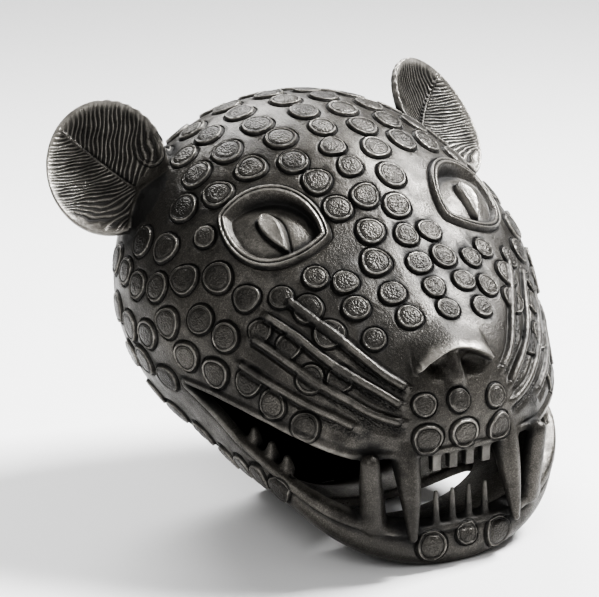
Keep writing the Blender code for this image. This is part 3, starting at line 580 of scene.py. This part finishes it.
def ear_lines(p):
    """Where points lie on the ear: its three directions, share of the rim, veins and their area."""
    q = p - EAR_MIDDLE
    u, v, w = q @ EAR_ACROSS, q @ EAR_ALONG, q @ EAR_OUT
    rho = np.sqrt((u / EAR_HALF[0]) ** 2 + (v / EAR_HALF[1]) ** 2)
    flat = np.stack([u, v], axis=1)
    m = (flat - RIB_FOOT) @ RIB_RUN
    s = (flat[:, 1] - RIB_FOOT[1]) * RIB_RUN[0] - (flat[:, 0] - RIB_FOOT[0]) * RIB_RUN[1]
    s = s - 0.05 * np.sin(m * 0.9)
    lean = 0.72 * np.clip((m + 0.35) / 1.7, 0.05, 1.0)
    phase = m - np.abs(s) * lean * 0.9 + 0.03 * np.sin(5.0 * s + 3.0 * m) + 0.02 * np.sin(11.0 * m)
    phase = phase / np.where(s > 0.0, 0.190, 0.155)
    open_area = outline(flat, VEE_AREA)
    blade = step(0.06, 0.16, open_area) * (1.0 - step(0.86, 0.97, rho)) * step(0.04, 0.10, np.abs(s))
    cup = EAR_CUP * (1.0 - np.minimum(rho, 1.2) ** 2)
    return u, v, w, rho, flat, m, s, phase, open_area, blade, cup


def ear(p):
    """One ear, a cupped leaf with a midrib, side veins and a notched inner rim, and its root."""
    u, v, w, rho, flat, m, s, phase, open_area, blade, cup = ear_lines(p)
    r = np.hypot(u, v)
    turn = np.arctan2(v / EAR_HALF[1], u / EAR_HALF[0])
    inner = step(1.45, 1.75, turn) + step(-2.60, -2.85, turn)
    notch = inner * (0.5 + 0.5 * np.cos(turn * 34.0))
    edge = (rho - 1.0) * r / np.maximum(rho, 0.05) + 0.035 * notch
    vein = 0.5 + 0.5 * np.cos(2.0 * pi * phase)
    fade = 0.60 + 0.40 * np.sin(2.3 * m + 1.1 * s) ** 2
    front = -cup - 0.050 * vein * blade * fade
    rope = 0.75 + 0.25 * np.cos(2.0 * pi * m / 0.16)
    front += 0.080 * rope * bell(s, 0.060) * step(-0.05, 0.15, m) * (1.0 - step(3.6, 3.9, m))
    front -= 0.05 * bell(s - 0.11, 0.05) * step(0.0, 0.2, m) * (1.0 - step(2.6, 3.4, m))
    front += 0.04 * bell(rho - 0.975, 0.022) + inner * 0.07 * bell(rho - 0.93, 0.05) * (1.0 - 0.8 * notch)
    rim_line = polyline(np.column_stack([flat, np.zeros(len(flat))]), VEE_LINE)[0]
    front += 0.11 * bell(rim_line, 0.065) * (1.0 - step(0.98, 1.05, rho))
    front -= 0.20 * step(-0.02, -0.30, open_area) * bell(open_area + 0.30, 0.5)
    back = -cup - EAR_THICK * (1.0 - 0.22 * rho ** 4)
    slope = np.sqrt(1.0 + (2.0 * EAR_CUP * rho / EAR_HALF[0]) ** 2)
    sheet = np.maximum(w - front, back - w) / slope
    leaf = common(sheet, edge, 0.09)
    root_in = EAR_ROOT - EAR_OUT * 0.55 - EAR_ALONG * 0.15
    root_out = EAR_MIDDLE - 0.89 * EAR_ACROSS - 1.27 * EAR_ALONG - 1.05 * EAR_OUT
    run = root_out - root_in
    t = np.clip(((p - root_in) @ run) / (run @ run), 0.0, 1.0)
    root = np.linalg.norm(p - root_in - t[:, None] * run, axis=1) - (0.62 - 0.14 * t)
    return union(leaf, root, 0.40)


def tapered(p, a, b, ra, rb, bend=0.0):
    """A round tapering tooth from a to b, bowed forward by the bend."""
    run = b - a
    length = np.linalg.norm(run)
    t = np.clip(((p - a) @ run) / length ** 2, 0.0, 1.0)
    axis = a + t[:, None] * run
    axis[:, 1] -= bend * 4.0 * t * (1.0 - t)
    return (np.linalg.norm(p - axis, axis=1) - (ra + (rb - ra) * t ** 1.4)) * 0.97


MOLAR_FEET = []
for gum_y, gum_z in ((-3.55, 3.40), (-2.60, 3.82), (-1.65, 4.18)):
    gum = surface(np.array([5.9, gum_y, gum_z]))[0]
    MOLAR_FEET.append(gum - normals(gum[None])[0] * WALL * 1.35)


def teeth(p):
    """Teeth of the right half: the caller mirrors the points."""
    top = np.array([2.10, -5.98, 4.40])
    run = np.array([0.10, -0.84, -3.20])
    d = tapered(p, top, top + run * (3.22 / 3.31), 0.54, 0.16, 0.10)
    low = np.array([3.28, -5.80, 1.72])
    run = np.array([0.32, -0.30, 2.70])
    d = np.minimum(d, tapered(p, low, low + run * (2.45 / 2.73), 0.50, 0.36))
    for x in (0.35, 1.05):
        foot = np.array([x, -6.47, 1.20])
        d = np.minimum(d, tapered(p, foot, foot + np.array([0.0, 0.0, 1.52]), 0.17, 0.075))
        head = np.array([x, -6.40, 4.50])
        box = np.abs(p - head + np.array([0.0, 0.0, 0.46])) - np.array([0.145, 0.12, 0.44])
        block = np.linalg.norm(np.maximum(box, 0.0), axis=1) + np.minimum(box.max(axis=1), 0.0) - 0.04
        d = np.minimum(d, block)
    for foot in MOLAR_FEET:
        peak = foot + np.array([0.0, 0.0, 0.42])
        d = np.minimum(d, tapered(p, foot, peak, 0.30, 0.15))
    return d


def oval(a, b, half):
    """Signed distance, nearly, to an oval about the origin."""
    near = np.sqrt((a / half[0]) ** 2 + (b / half[1]) ** 2)
    slope = np.sqrt((a / half[0] ** 2) ** 2 + (b / half[1] ** 2) ** 2) + 1e-6
    return near * (near - 1.0) / slope


def solid(p):
    """Signed distance to the whole casting, in centimetres, negative inside the metal."""
    f = form(p).astype(np.float64)
    plane = (p - NECK_POINT) @ NECK_NORMAL
    right = mirrored(p)
    outer = f.copy()
    near = (np.abs(f) < 0.75) & (plane < 0.3)
    if near.any():
        outer[near] -= relief(p[near])[0]
    m = np.linalg.norm(right - EAR_MIDDLE, axis=1) < 4.2
    if m.any():
        outer[m] = union(outer[m], ear(right[m]), 0.30)
    pocket = np.zeros(len(p))
    m = (np.linalg.norm(right - EYE[0], axis=1) < 3.4) & (np.abs(f) < 2.0)
    if m.any():
        a, b = local(right[m], EYE)
        pocket[m] = EYE_DEPTH * np.clip((0.40 - outline(np.stack([a, b], axis=1), EYE_EDGE)) / 0.76, 0.0, 1.0)
    pocket += 0.30 * (1.0 - step(1.6, 2.4, np.linalg.norm(p - NOSE[0], axis=1)))
    hollow = np.maximum(f + WALL + pocket, plane + BACK_WALL)
    opening = oval(p[:, 0], (p - NECK_MIDDLE) @ NECK_UP - NECK_OPENING_RISE, NECK_OPENING)
    hollow = np.minimum(hollow, np.maximum(opening, -plane - BACK_WALL - WALL))
    d = common(outer, -hollow, 0.08)
    m = (p[:, 1] < 1.6) & (p[:, 2] < 6.6) & (d < 0.6)
    if m.any():
        d[m] = common(d[m], -outline(p[m][:, 1:], MOUTH), MOUTH_ROUND)
    bore = np.maximum(oval(p[:, 0], p[:, 1] - THROAT_Y, THROAT), p[:, 2] - THROAT_TOP)
    d = common(d, -bore, THROAT_ROUND)
    m = (right[:, 1] < -0.6) & (right[:, 1] > -7.6) & (right[:, 2] < 5.4) & (right[:, 2] > 0.3)
    if m.any():
        d[m] = union(d[m], teeth(right[m]), TEETH_FLOW)
    d = common(d, plane, 0.06)
    return np.maximum(d, TABLE - p[:, 2])


def in_parts(points, size=400000):
    return np.concatenate([solid(points[k:k + size]) for k in range(0, len(points), size)])


def field():
    """The distance on a grid of cells, worked out only near the metal's surface."""
    low = np.array([-9.75, -7.3, -0.4])
    block = 6
    blocks = np.ceil((np.array([9.75, 10.8, 15.2]) - low) / (CELL * block)).astype(int)
    ids = np.stack(np.meshgrid(*[np.arange(n) for n in blocks], indexing="ij"), axis=-1).reshape(-1, 3)
    coarse = in_parts(low + (ids + 0.5) * block * CELL)
    values = np.where(coarse > 0, 9.0, -9.0).astype(F).reshape(blocks)
    for axis in range(3):
        values = np.repeat(values, block, axis)
    values = np.pad(values, ((0, 1), (0, 1), (0, 1)), constant_values=9.0)
    kept = ids[np.abs(coarse) < 0.9 * block * CELL * 1.25 + 0.16]
    inner = np.stack(np.meshgrid(*[np.arange(block + 1)] * 3, indexing="ij"), axis=-1).reshape(-1, 3)
    group = 1200
    for k in range(0, len(kept), group):
        at = (kept[k:k + group, None] * block + inner[None]).reshape(-1, 3)
        values[at[:, 0], at[:, 1], at[:, 2]] = solid(low + at * CELL)
    return values, low


def skin_mesh(values, low):
    """Quads round the zero level: one corner in every cell that the surface crosses."""
    inside = values < 0.0
    total = np.zeros(np.array(values.shape) - 1, np.int8)
    corners = [(i, j, k) for i in (0, 1) for j in (0, 1) for k in (0, 1)]
    n = total.shape
    for i, j, k in corners:
        total += inside[i:i + n[0], j:j + n[1], k:k + n[2]]
    cell = np.argwhere((total > 0) & (total < 8))
    flat_id = np.ravel_multi_index(cell.T, n)
    corner_values = {c: values[cell[:, 0] + c[0], cell[:, 1] + c[1], cell[:, 2] + c[2]] for c in corners}
    place = np.zeros((len(cell), 3))
    weight = np.zeros(len(cell))
    for c in corners:
        for axis in range(3):
            if c[axis]:
                continue
            e = list(c)
            e[axis] = 1
            a, b = corner_values[c], corner_values[tuple(e)]
            cross = (a < 0) != (b < 0)
            t = np.where(cross, a / np.where(cross, a - b, 1.0), 0.0)
            point = np.tile(np.array(c, float), (len(cell), 1))
            point[:, axis] = t
            place += point * cross[:, None]
            weight += cross
    place = low + (cell + place / weight[:, None]) * CELL
    faces = []
    for axis in range(3):
        b, c = [(1, 2), (2, 0), (0, 1)][axis]
        first = [slice(1, -1)] * 3
        first[axis] = slice(0, -1)
        second = list(first)
        second[axis] = slice(1, None)
        here, there = inside[tuple(first)], inside[tuple(second)]
        edges = np.argwhere(here != there)
        start = np.ones(3, int)
        start[axis] = 0
        edges = edges + start
        out = here[tuple((edges - start).T)]
        quad = []
        for db, dc in ((0, 0), (1, 0), (1, 1), (0, 1)):
            at = edges.copy()
            at[:, b] -= db
            at[:, c] -= dc
            quad.append(np.searchsorted(flat_id, np.ravel_multi_index(at.T, n)))
        quad = np.stack(quad, axis=1)
        quad[~out] = quad[~out][:, ::-1]
        faces.append(quad)
    return place, np.vstack(faces)


def gradient(p, nudge=0.02):
    slopes = [(in_parts(p + nudge * a) - in_parts(p - nudge * a)) / (2 * nudge) for a in np.eye(3)]
    return np.stack(slopes, axis=1)


def settle(p, rounds, limit):
    """Points drawn onto the surface, each by no more than the limit a round."""
    for _ in range(rounds):
        d = in_parts(p)
        g = gradient(p)
        move = -d[:, None] * g / np.maximum((g ** 2).sum(axis=1), 0.3)[:, None]
        length = np.linalg.norm(move, axis=1, keepdims=True)
        p = p + move * np.minimum(1.0, limit / np.maximum(length, 1e-9))
    return p


def new_object(name, verts, faces):
    mesh = bpy.data.meshes.new(name)
    mesh.vertices.add(len(verts))
    mesh.vertices.foreach_set("co", np.asarray(verts, F).ravel())
    mesh.loops.add(faces.size)
    mesh.loops.foreach_set("vertex_index", faces.astype(np.int32).ravel())
    mesh.polygons.add(len(faces))
    mesh.polygons.foreach_set("loop_start", np.arange(len(faces), dtype=np.int32) * faces.shape[1])
    mesh.update(calc_edges=True)
    obj = bpy.data.objects.new(name, mesh)
    bpy.context.scene.collection.objects.link(obj)
    return obj


values, low = field()
verts, quads = skin_mesh(values, low)
del values
head = new_object("leopard_head_skin", verts, quads)
thin = head.modifiers.new("thin", "DECIMATE")
thin.ratio = min(1.0, FACE_BUDGET / (2.0 * len(quads)))
thin.use_collapse_triangulate = True
bpy.context.view_layer.update()
mesh = bpy.data.meshes.new_from_object(head.evaluated_get(bpy.context.evaluated_depsgraph_get()))
head.modifiers.clear()
head.data = mesh
co = np.zeros(len(mesh.vertices) * 3)
mesh.vertices.foreach_get("co", co)
co = settle(co.reshape(-1, 3), 1, 0.03)
out = unit(gradient(co))

# Masks for the patina: closed-in places gather dirt and painted shade, proud edges are rubbed bright and
# carry painted highlights
grime_and_shade = np.zeros(len(co))
# Occlusion sampled outwards from the skin at three widths: dirt and painted shade in recesses
for far, share in ((0.10, 0.35), (0.25, 0.35), (0.70, 0.30)):
    grime_and_shade += share * np.clip(1.0 - in_parts(co + out * far) / far, 0.0, 1.0)
rubbed_and_highlight = np.clip(1.0 + in_parts(co - out * 0.14) / 0.14, 0.0, 1.0)
edges = np.zeros(len(mesh.edges) * 2, np.int32)
mesh.edges.foreach_get("vertices", edges)
edges = edges.reshape(-1, 2)
shared = np.bincount(edges.ravel(), minlength=len(co)) + 1.0


def calmed(values):
    """Values averaged with those of the neighbouring points."""
    total = values + np.bincount(edges[:, 0], values[edges[:, 1]], len(co))
    total += np.bincount(edges[:, 1], values[edges[:, 0]], len(co))
    return total / shared


right = mirrored(co)
depth = form(co)
marks = relief(co)[1]
marks["spot"] = np.where(depth < -0.3, NO_SPOT, marks["spot"])
marks["cord"] = np.where(depth < -0.3, 1.0, marks["cord"])
marks["grime_and_shade"] = calmed(calmed(grime_and_shade))
marks["rubbed_and_highlight"] = calmed(calmed(rubbed_and_highlight))
# Painted shade on the walls inside the hollow casting and the mouth
marks["inside"] = step(0.42, 0.80, -depth)
# A darker, mottled band just below each whisker cord: dirt in the stippling and painted shade under the cords
m = (right[:, 1] < -2.4) & (right[:, 2] > 4.4) & (right[:, 2] < 9.6) & (depth > -0.3)
distance = np.min([polyline(right[m], line)[0] for line in WHISKER_LINES], axis=0)
marks["channel"] = np.zeros(len(co))
marks["channel"][m] = ((1.0 - step(0.34, 0.52, distance)) * step(0.13, 0.20, distance)
                       * step(-3.6, -5.2, right[m][:, 1]) * step(0.5, 0.8, marks["under"][m]))
_, _, w, rho, _, _, _, phase, open_area, blade, cup = ear_lines(right)
leaf_front = (rho < 1.05) & (np.abs(w + cup) < 0.22) & (depth > 0.2)
marks["vein"] = np.where(leaf_front, phase, 0.0)
marks["blade"] = np.where(leaf_front, blade, 0.0)
# Painted shade in the ear's funnel and under the upper eyelid, added to the grime and shade mask
funnel_shade = step(0.02, -0.15, open_area) * step(-2.2, -0.2, open_area)
funnel_shade = np.where((rho < 1.0) & (np.abs(w + cup) < 0.7), funnel_shade, 0.0)
marks["grime_and_shade"] = np.maximum(marks["grime_and_shade"], np.maximum(0.55 * funnel_shade, 0.42 * marks.pop("shade")))
# Painted shade over the small front teeth
small_teeth_shade = (right[:, 0] < 1.5) & (co[:, 1] > -6.75) & (co[:, 1] < -6.1)
small_teeth_shade = small_teeth_shade & (co[:, 2] > 1.3) & (co[:, 2] < 4.25)
marks["inside"] = np.maximum(marks["inside"], 0.55 * small_teeth_shade)
for name, data in marks.items():
    mesh.attributes.new(name, "FLOAT", "POINT").data.foreach_set("value", data.astype(F))

low_box, high_box = (np.array(v) for v in cad_box)
placed = (co - ROW_ORIGIN) * 0.01
placed = np.clip(placed, low_box + 2e-5, high_box - 2e-5)
placed[:, 2] = np.maximum(placed[:, 2], low_box[2])
mesh.vertices.foreach_set("co", placed.astype(F).ravel())
mesh.polygons.foreach_set("use_smooth", np.ones(len(mesh.polygons), bool))
mesh.update()


class Nodes:
    """Short calls for building a material's node tree."""

    def __init__(self, material):
        material.use_nodes = True
        self.tree = material.node_tree
        self.shader = self.tree.nodes["Principled BSDF"]

    def put(self, kind, **values):
        node = self.tree.nodes.new(kind)
        for name, value in values.items():
            setattr(node, name, value)
        return node

    def join(self, a, b):
        self.tree.links.new(a, b)

    def attribute(self, name):
        return self.put("ShaderNodeAttribute", attribute_name=name).outputs["Fac"]

    def noise(self, scale, detail=4.0, roughness=0.55, stretch=None):
        node = self.put("ShaderNodeTexNoise")
        node.inputs["Scale"].default_value = scale
        node.inputs["Detail"].default_value = detail
        node.inputs["Roughness"].default_value = roughness
        place = self.put("ShaderNodeMapping")
        place.inputs["Scale"].default_value = stretch or (1.0, 1.0, 1.0)
        self.join(self.put("ShaderNodeTexCoord").outputs["Object"], place.inputs["Vector"])
        self.join(place.outputs["Vector"], node.inputs["Vector"])
        return node.outputs["Fac"]

    def math(self, operation, a, b=None, c=None):
        node = self.put("ShaderNodeMath", operation=operation)
        for socket, value in zip(node.inputs, (a, b, c)):
            if value is None:
                continue
            if isinstance(value, (int, float)):
                socket.default_value = value
            else:
                self.join(value, socket)
        return node.outputs["Value"]

    def span(self, value, from_low, from_high, to_low, to_high):
        node = self.put("ShaderNodeMapRange", clamp=True, interpolation_type="SMOOTHSTEP")
        self.join(value, node.inputs["Value"])
        sides = (("From Min", from_low), ("From Max", from_high), ("To Min", to_low), ("To Max", to_high))
        for name, number in sides:
            node.inputs[name].default_value = number
        return node.outputs["Result"]

    def mix(self, amount, a, b):
        node = self.put("ShaderNodeMix", data_type="RGBA")
        self.join(amount, node.inputs["Factor"])
        for socket, value in ((node.inputs["A"], a), (node.inputs["B"], b)):
            if isinstance(value, tuple):
                socket.default_value = (*value, 1.0)
            else:
                self.join(value, socket)
        return node.outputs["Result"]

    def line(self, value, middle, width):
        """1 on the line where the value is the middle one, falling to 0 over the width."""
        return self.span(self.math("ABSOLUTE", self.math("SUBTRACT", value, middle)), 0.0, width, 1.0, 0.0)

    def most(self, *values):
        total = values[0]
        for value in values[1:]:
            total = self.math("MAXIMUM", total, value)
        return total

    def scaled(self, value, share):
        return self.math("MULTIPLY", value, share)


def bronze():
    """Dark patinated brass: grainy, black in the cuts from patina and painted shade, and worn grey with
    painted highlights on what stands proud.
    """
    material = bpy.data.materials.new("dark_patinated_brass_painted_shade_and_highlights")
    n = Nodes(material)
    broad = n.noise(26.0, 5.0)
    blotch = n.noise(120.0, 6.0, 0.65)
    grain = n.noise(1100.0, 3.0, 0.6)
    pits = n.noise(2600.0, 2.0, 0.5)
    strokes = n.noise(420.0, 3.0, 0.6, (1.0, 0.25, 1.0))
    names = ("grime_and_shade", "rubbed_and_highlight", "channel", "inside", "spot", "disc", "cord", "under", "lid", "pupil",
             "vein", "blade")
    (grime_and_shade, rubbed_and_highlight, channel, inside, spot, disc, cord, under, lid, pupil, vein,
     blade) = [n.attribute(name) for name in names]
    wave = n.math("COSINE", n.scaled(vein, 2.0 * pi))
    uneven = n.math("ADD", wave, n.math("SUBTRACT", grain, 0.5))
    vein_cut = n.scaled(n.span(uneven, 0.10, 0.85, 0.0, 1.0), blade)
    vein_top = n.scaled(n.span(uneven, -0.2, -0.9, 0.0, 1.0), blade)
    # Dark lines in the cut grooves round spots, cords, lids, pupil and veins: dark patina and painted shade
    cuts = n.most(
        n.scaled(n.line(spot, 1.080, 0.080), 0.95),
        n.scaled(n.scaled(n.line(spot, 0.770, 0.050), 0.85), n.span(disc, 0.35, 0.75, 0.25, 1.0)),
        n.scaled(n.line(cord, 0.225, 0.105), under),
        n.scaled(n.line(lid, 0.095, 0.035), 0.9),
        n.scaled(n.line(lid, -0.125, 0.060), 0.8),
        n.scaled(n.line(pupil, -0.075, 0.075), 0.9),
        n.scaled(vein_cut, 0.80))
    # Raised lines: lightened in colour as wear and painted highlights, and raised in the bump
    proud = n.most(
        n.scaled(n.line(spot, 0.930, 0.055), 0.85),
        n.scaled(n.span(cord, 0.02, 0.15, 1.0, 0.0), 0.85),
        n.span(lid, 0.34, 0.60, 0.0, 0.25),
        n.scaled(n.line(lid, 0.030, 0.055), 0.65),
        n.scaled(n.line(lid, 0.190, 0.070), 0.75),
        n.scaled(n.span(pupil, 0.03, 0.12, 0.0, 1.0), 0.75),
        n.scaled(vein_top, 0.45))
    base = n.mix(n.span(broad, 0.35, 0.65, 0.0, 1.0), (0.060, 0.056, 0.050), (0.135, 0.126, 0.112))
    base = n.mix(n.span(blotch, 0.48, 0.70, 0.0, 0.75), base, (0.026, 0.024, 0.021))
    kind = n.span(n.math("ADD", disc, n.scaled(blotch, 0.4)), 0.55, 1.0, 0.55, 0.0)
    base = n.mix(n.scaled(kind, n.span(disc, 0.0, 0.2, 0.0, 1.0)), base, (0.026, 0.024, 0.021))
    base = n.mix(n.span(n.scaled(n.span(pits, 0.35, 0.65, 0.0, 1.0), grain), 0.15, 0.62, 0.55, 0.0), base,
                 (0.012, 0.011, 0.010))
    # Rubbed edges and proud lines lightened to a pale worn brass: wear and painted highlights
    worn_and_highlight = n.most(n.scaled(n.span(rubbed_and_highlight, 0.20, 0.60, 0.0, 1.0), 0.75), proud)
    worn_and_highlight = n.scaled(worn_and_highlight, n.span(blotch, 0.30, 0.62, 1.0, 0.45))
    base = n.mix(worn_and_highlight, base, (0.42, 0.40, 0.365))
    # Near-black for dark patina and painted shade: recesses, cuts, inner walls and the whisker channels
    dirt_and_shade = n.most(n.span(grime_and_shade, 0.09, 0.40, 0.0, 0.97), cuts, n.scaled(inside, 0.9))
    dirt_and_shade = n.most(dirt_and_shade, n.scaled(channel, n.span(grain, 0.36, 0.60, 0.95, 0.45)))
    dirt_and_shade = n.scaled(dirt_and_shade, n.span(proud, 0.2, 0.8, 1.0, 0.35))
    base = n.mix(dirt_and_shade, base, (0.0055, 0.0050, 0.0045))
    n.join(base, n.shader.inputs["Base Color"])
    n.join(n.math("SUBTRACT", 0.55, n.scaled(dirt_and_shade, 0.50)), n.shader.inputs["Metallic"])
    rough = n.math("ADD", n.span(blotch, 0.30, 0.70, 0.27, 0.44), n.scaled(dirt_and_shade, 0.40))
    n.join(n.math("SUBTRACT", rough, n.scaled(worn_and_highlight, 0.06)), n.shader.inputs["Roughness"])
    carved = n.put("ShaderNodeBump")
    carved.inputs["Strength"].default_value = 0.8
    carved.inputs["Distance"].default_value = 0.0008
    n.join(n.math("SUBTRACT", n.scaled(proud, 0.6), cuts), carved.inputs["Height"])
    stipple = n.put("ShaderNodeTexVoronoi", feature="F1")
    stipple.inputs["Scale"].default_value = 1300.0
    n.join(n.put("ShaderNodeTexCoord").outputs["Object"], stipple.inputs["Vector"])
    dotted = n.most(channel, n.span(spot, 0.60, 0.70, 0.6, 0.0))
    height = n.math("ADD", n.scaled(grain, 0.55), n.scaled(pits, 0.35))
    height = n.math("ADD", height, n.scaled(strokes, 0.30))
    height = n.math("ADD", height, n.scaled(n.scaled(stipple.outputs["Distance"], dotted), 1.4))
    bump = n.put("ShaderNodeBump")
    bump.inputs["Strength"].default_value = 0.7
    bump.inputs["Distance"].default_value = 0.00045
    n.join(height, bump.inputs["Height"])
    n.join(carved.outputs["Normal"], bump.inputs["Normal"])
    n.join(bump.outputs["Normal"], n.shader.inputs["Normal"])
    return material


head.data.materials.clear()
head.data.materials.append(bronze())
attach(head, "root")
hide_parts("leopard_head")


def row(*point):
    return Vector((np.array(point) - ROW_ORIGIN) * 0.01)


# Floor, painted darker away from the camera: painted shade
floor_mesh = bpy.data.meshes.new("floor")
floor_mesh.from_pydata([(-6, -6, 0), (6, -6, 0), (6, 6, 0), (-6, 6, 0)], [], [(0, 1, 2, 3)])
floor = bpy.data.objects.new("floor", floor_mesh)
bpy.context.scene.collection.objects.link(floor)
paper = bpy.data.materials.new("pale_paper_with_painted_shade")
n = Nodes(paper)
place = n.put("ShaderNodeSeparateXYZ")
n.join(n.put("ShaderNodeTexCoord").outputs["Object"], place.inputs["Vector"])
# Painted shade: the paper is darkened with distance from the camera
far = n.math("ADD", n.scaled(place.outputs["X"], 0.515), n.scaled(place.outputs["Y"], 0.857))
far = n.math("ADD", far, n.scaled(n.noise(6.0, 2.0), 0.02))
tone = n.mix(n.span(far, -0.15, 1.0, 0.0, 1.0), (0.93, 0.93, 0.93), (0.34, 0.34, 0.34))
n.join(tone, n.shader.inputs["Base Color"])
n.shader.inputs["Roughness"].default_value = 0.9
floor_mesh.materials.append(paper)

# Camera at the photograph's angle: the point aimed at lies off the middle, so the lens is shifted
BACK = np.array([-0.4951, -0.8240, 0.2756])
RIGHT = np.array([0.8572, -0.5150, 0.0])
UP = np.cross(BACK, RIGHT)
FOCAL_PIXELS = 3240.0
PICTURE = (599.0, 597.0)
AIM = np.array([0.0, 0.0, 11.2])
AIM_PIXEL = (368.0, 219.0)
CAMERA_AWAY = 120.0
SENSOR = 36.0
eye_point = AIM + CAMERA_AWAY * BACK
camera = bpy.data.objects.new("camera", bpy.data.cameras.new("camera"))
bpy.context.scene.collection.objects.link(camera)
camera.location = row(*eye_point)
camera.rotation_mode = "QUATERNION"
camera.rotation_quaternion = Matrix((RIGHT, UP, BACK)).transposed().to_quaternion()
camera.data.sensor_width = SENSOR
camera.data.lens = FOCAL_PIXELS * SENSOR / PICTURE[0]
camera.data.shift_x = (PICTURE[0] / 2.0 - AIM_PIXEL[0]) / PICTURE[0]
camera.data.shift_y = -(PICTURE[1] / 2.0 - AIM_PIXEL[1]) / PICTURE[0]
camera.data.clip_end = 50.0
bpy.context.scene.camera = camera
bpy.context.scene.view_settings.view_transform = "AgX"
bpy.context.scene.view_settings.look = "AgX - High Contrast"


def lamp(name, place, aim, size, power, tone=(1.0, 1.0, 1.0)):
    data = bpy.data.lights.new(name, "AREA")
    data.shape = "RECTANGLE"
    data.size, data.size_y = size
    data.energy = power
    data.color = tone
    obj = bpy.data.objects.new(name, data)
    bpy.context.scene.collection.objects.link(obj)
    obj.location = place
    obj.rotation_euler = (Vector(aim) - Vector(place)).to_track_quat("-Z", "Y").to_euler()
    return obj


middle = (0.0, 0.0, 0.07)
lamp("key", (0.95, -0.05, 1.15), middle, (0.42, 0.42), 50.0)
lamp("back", (0.25, 1.10, 1.00), middle, (0.8, 0.5), 18.0)
lamp("fill", (-1.0, -0.9, 1.1), middle, (0.9, 0.9), 9.0)
world = bpy.context.scene.world or bpy.data.worlds.new("world")
bpy.context.scene.world = world
world.use_nodes = True
world.node_tree.nodes["Background"].inputs["Color"].default_value = (0.9, 0.9, 0.9, 1.0)
world.node_tree.nodes["Background"].inputs["Strength"].default_value = 0.32
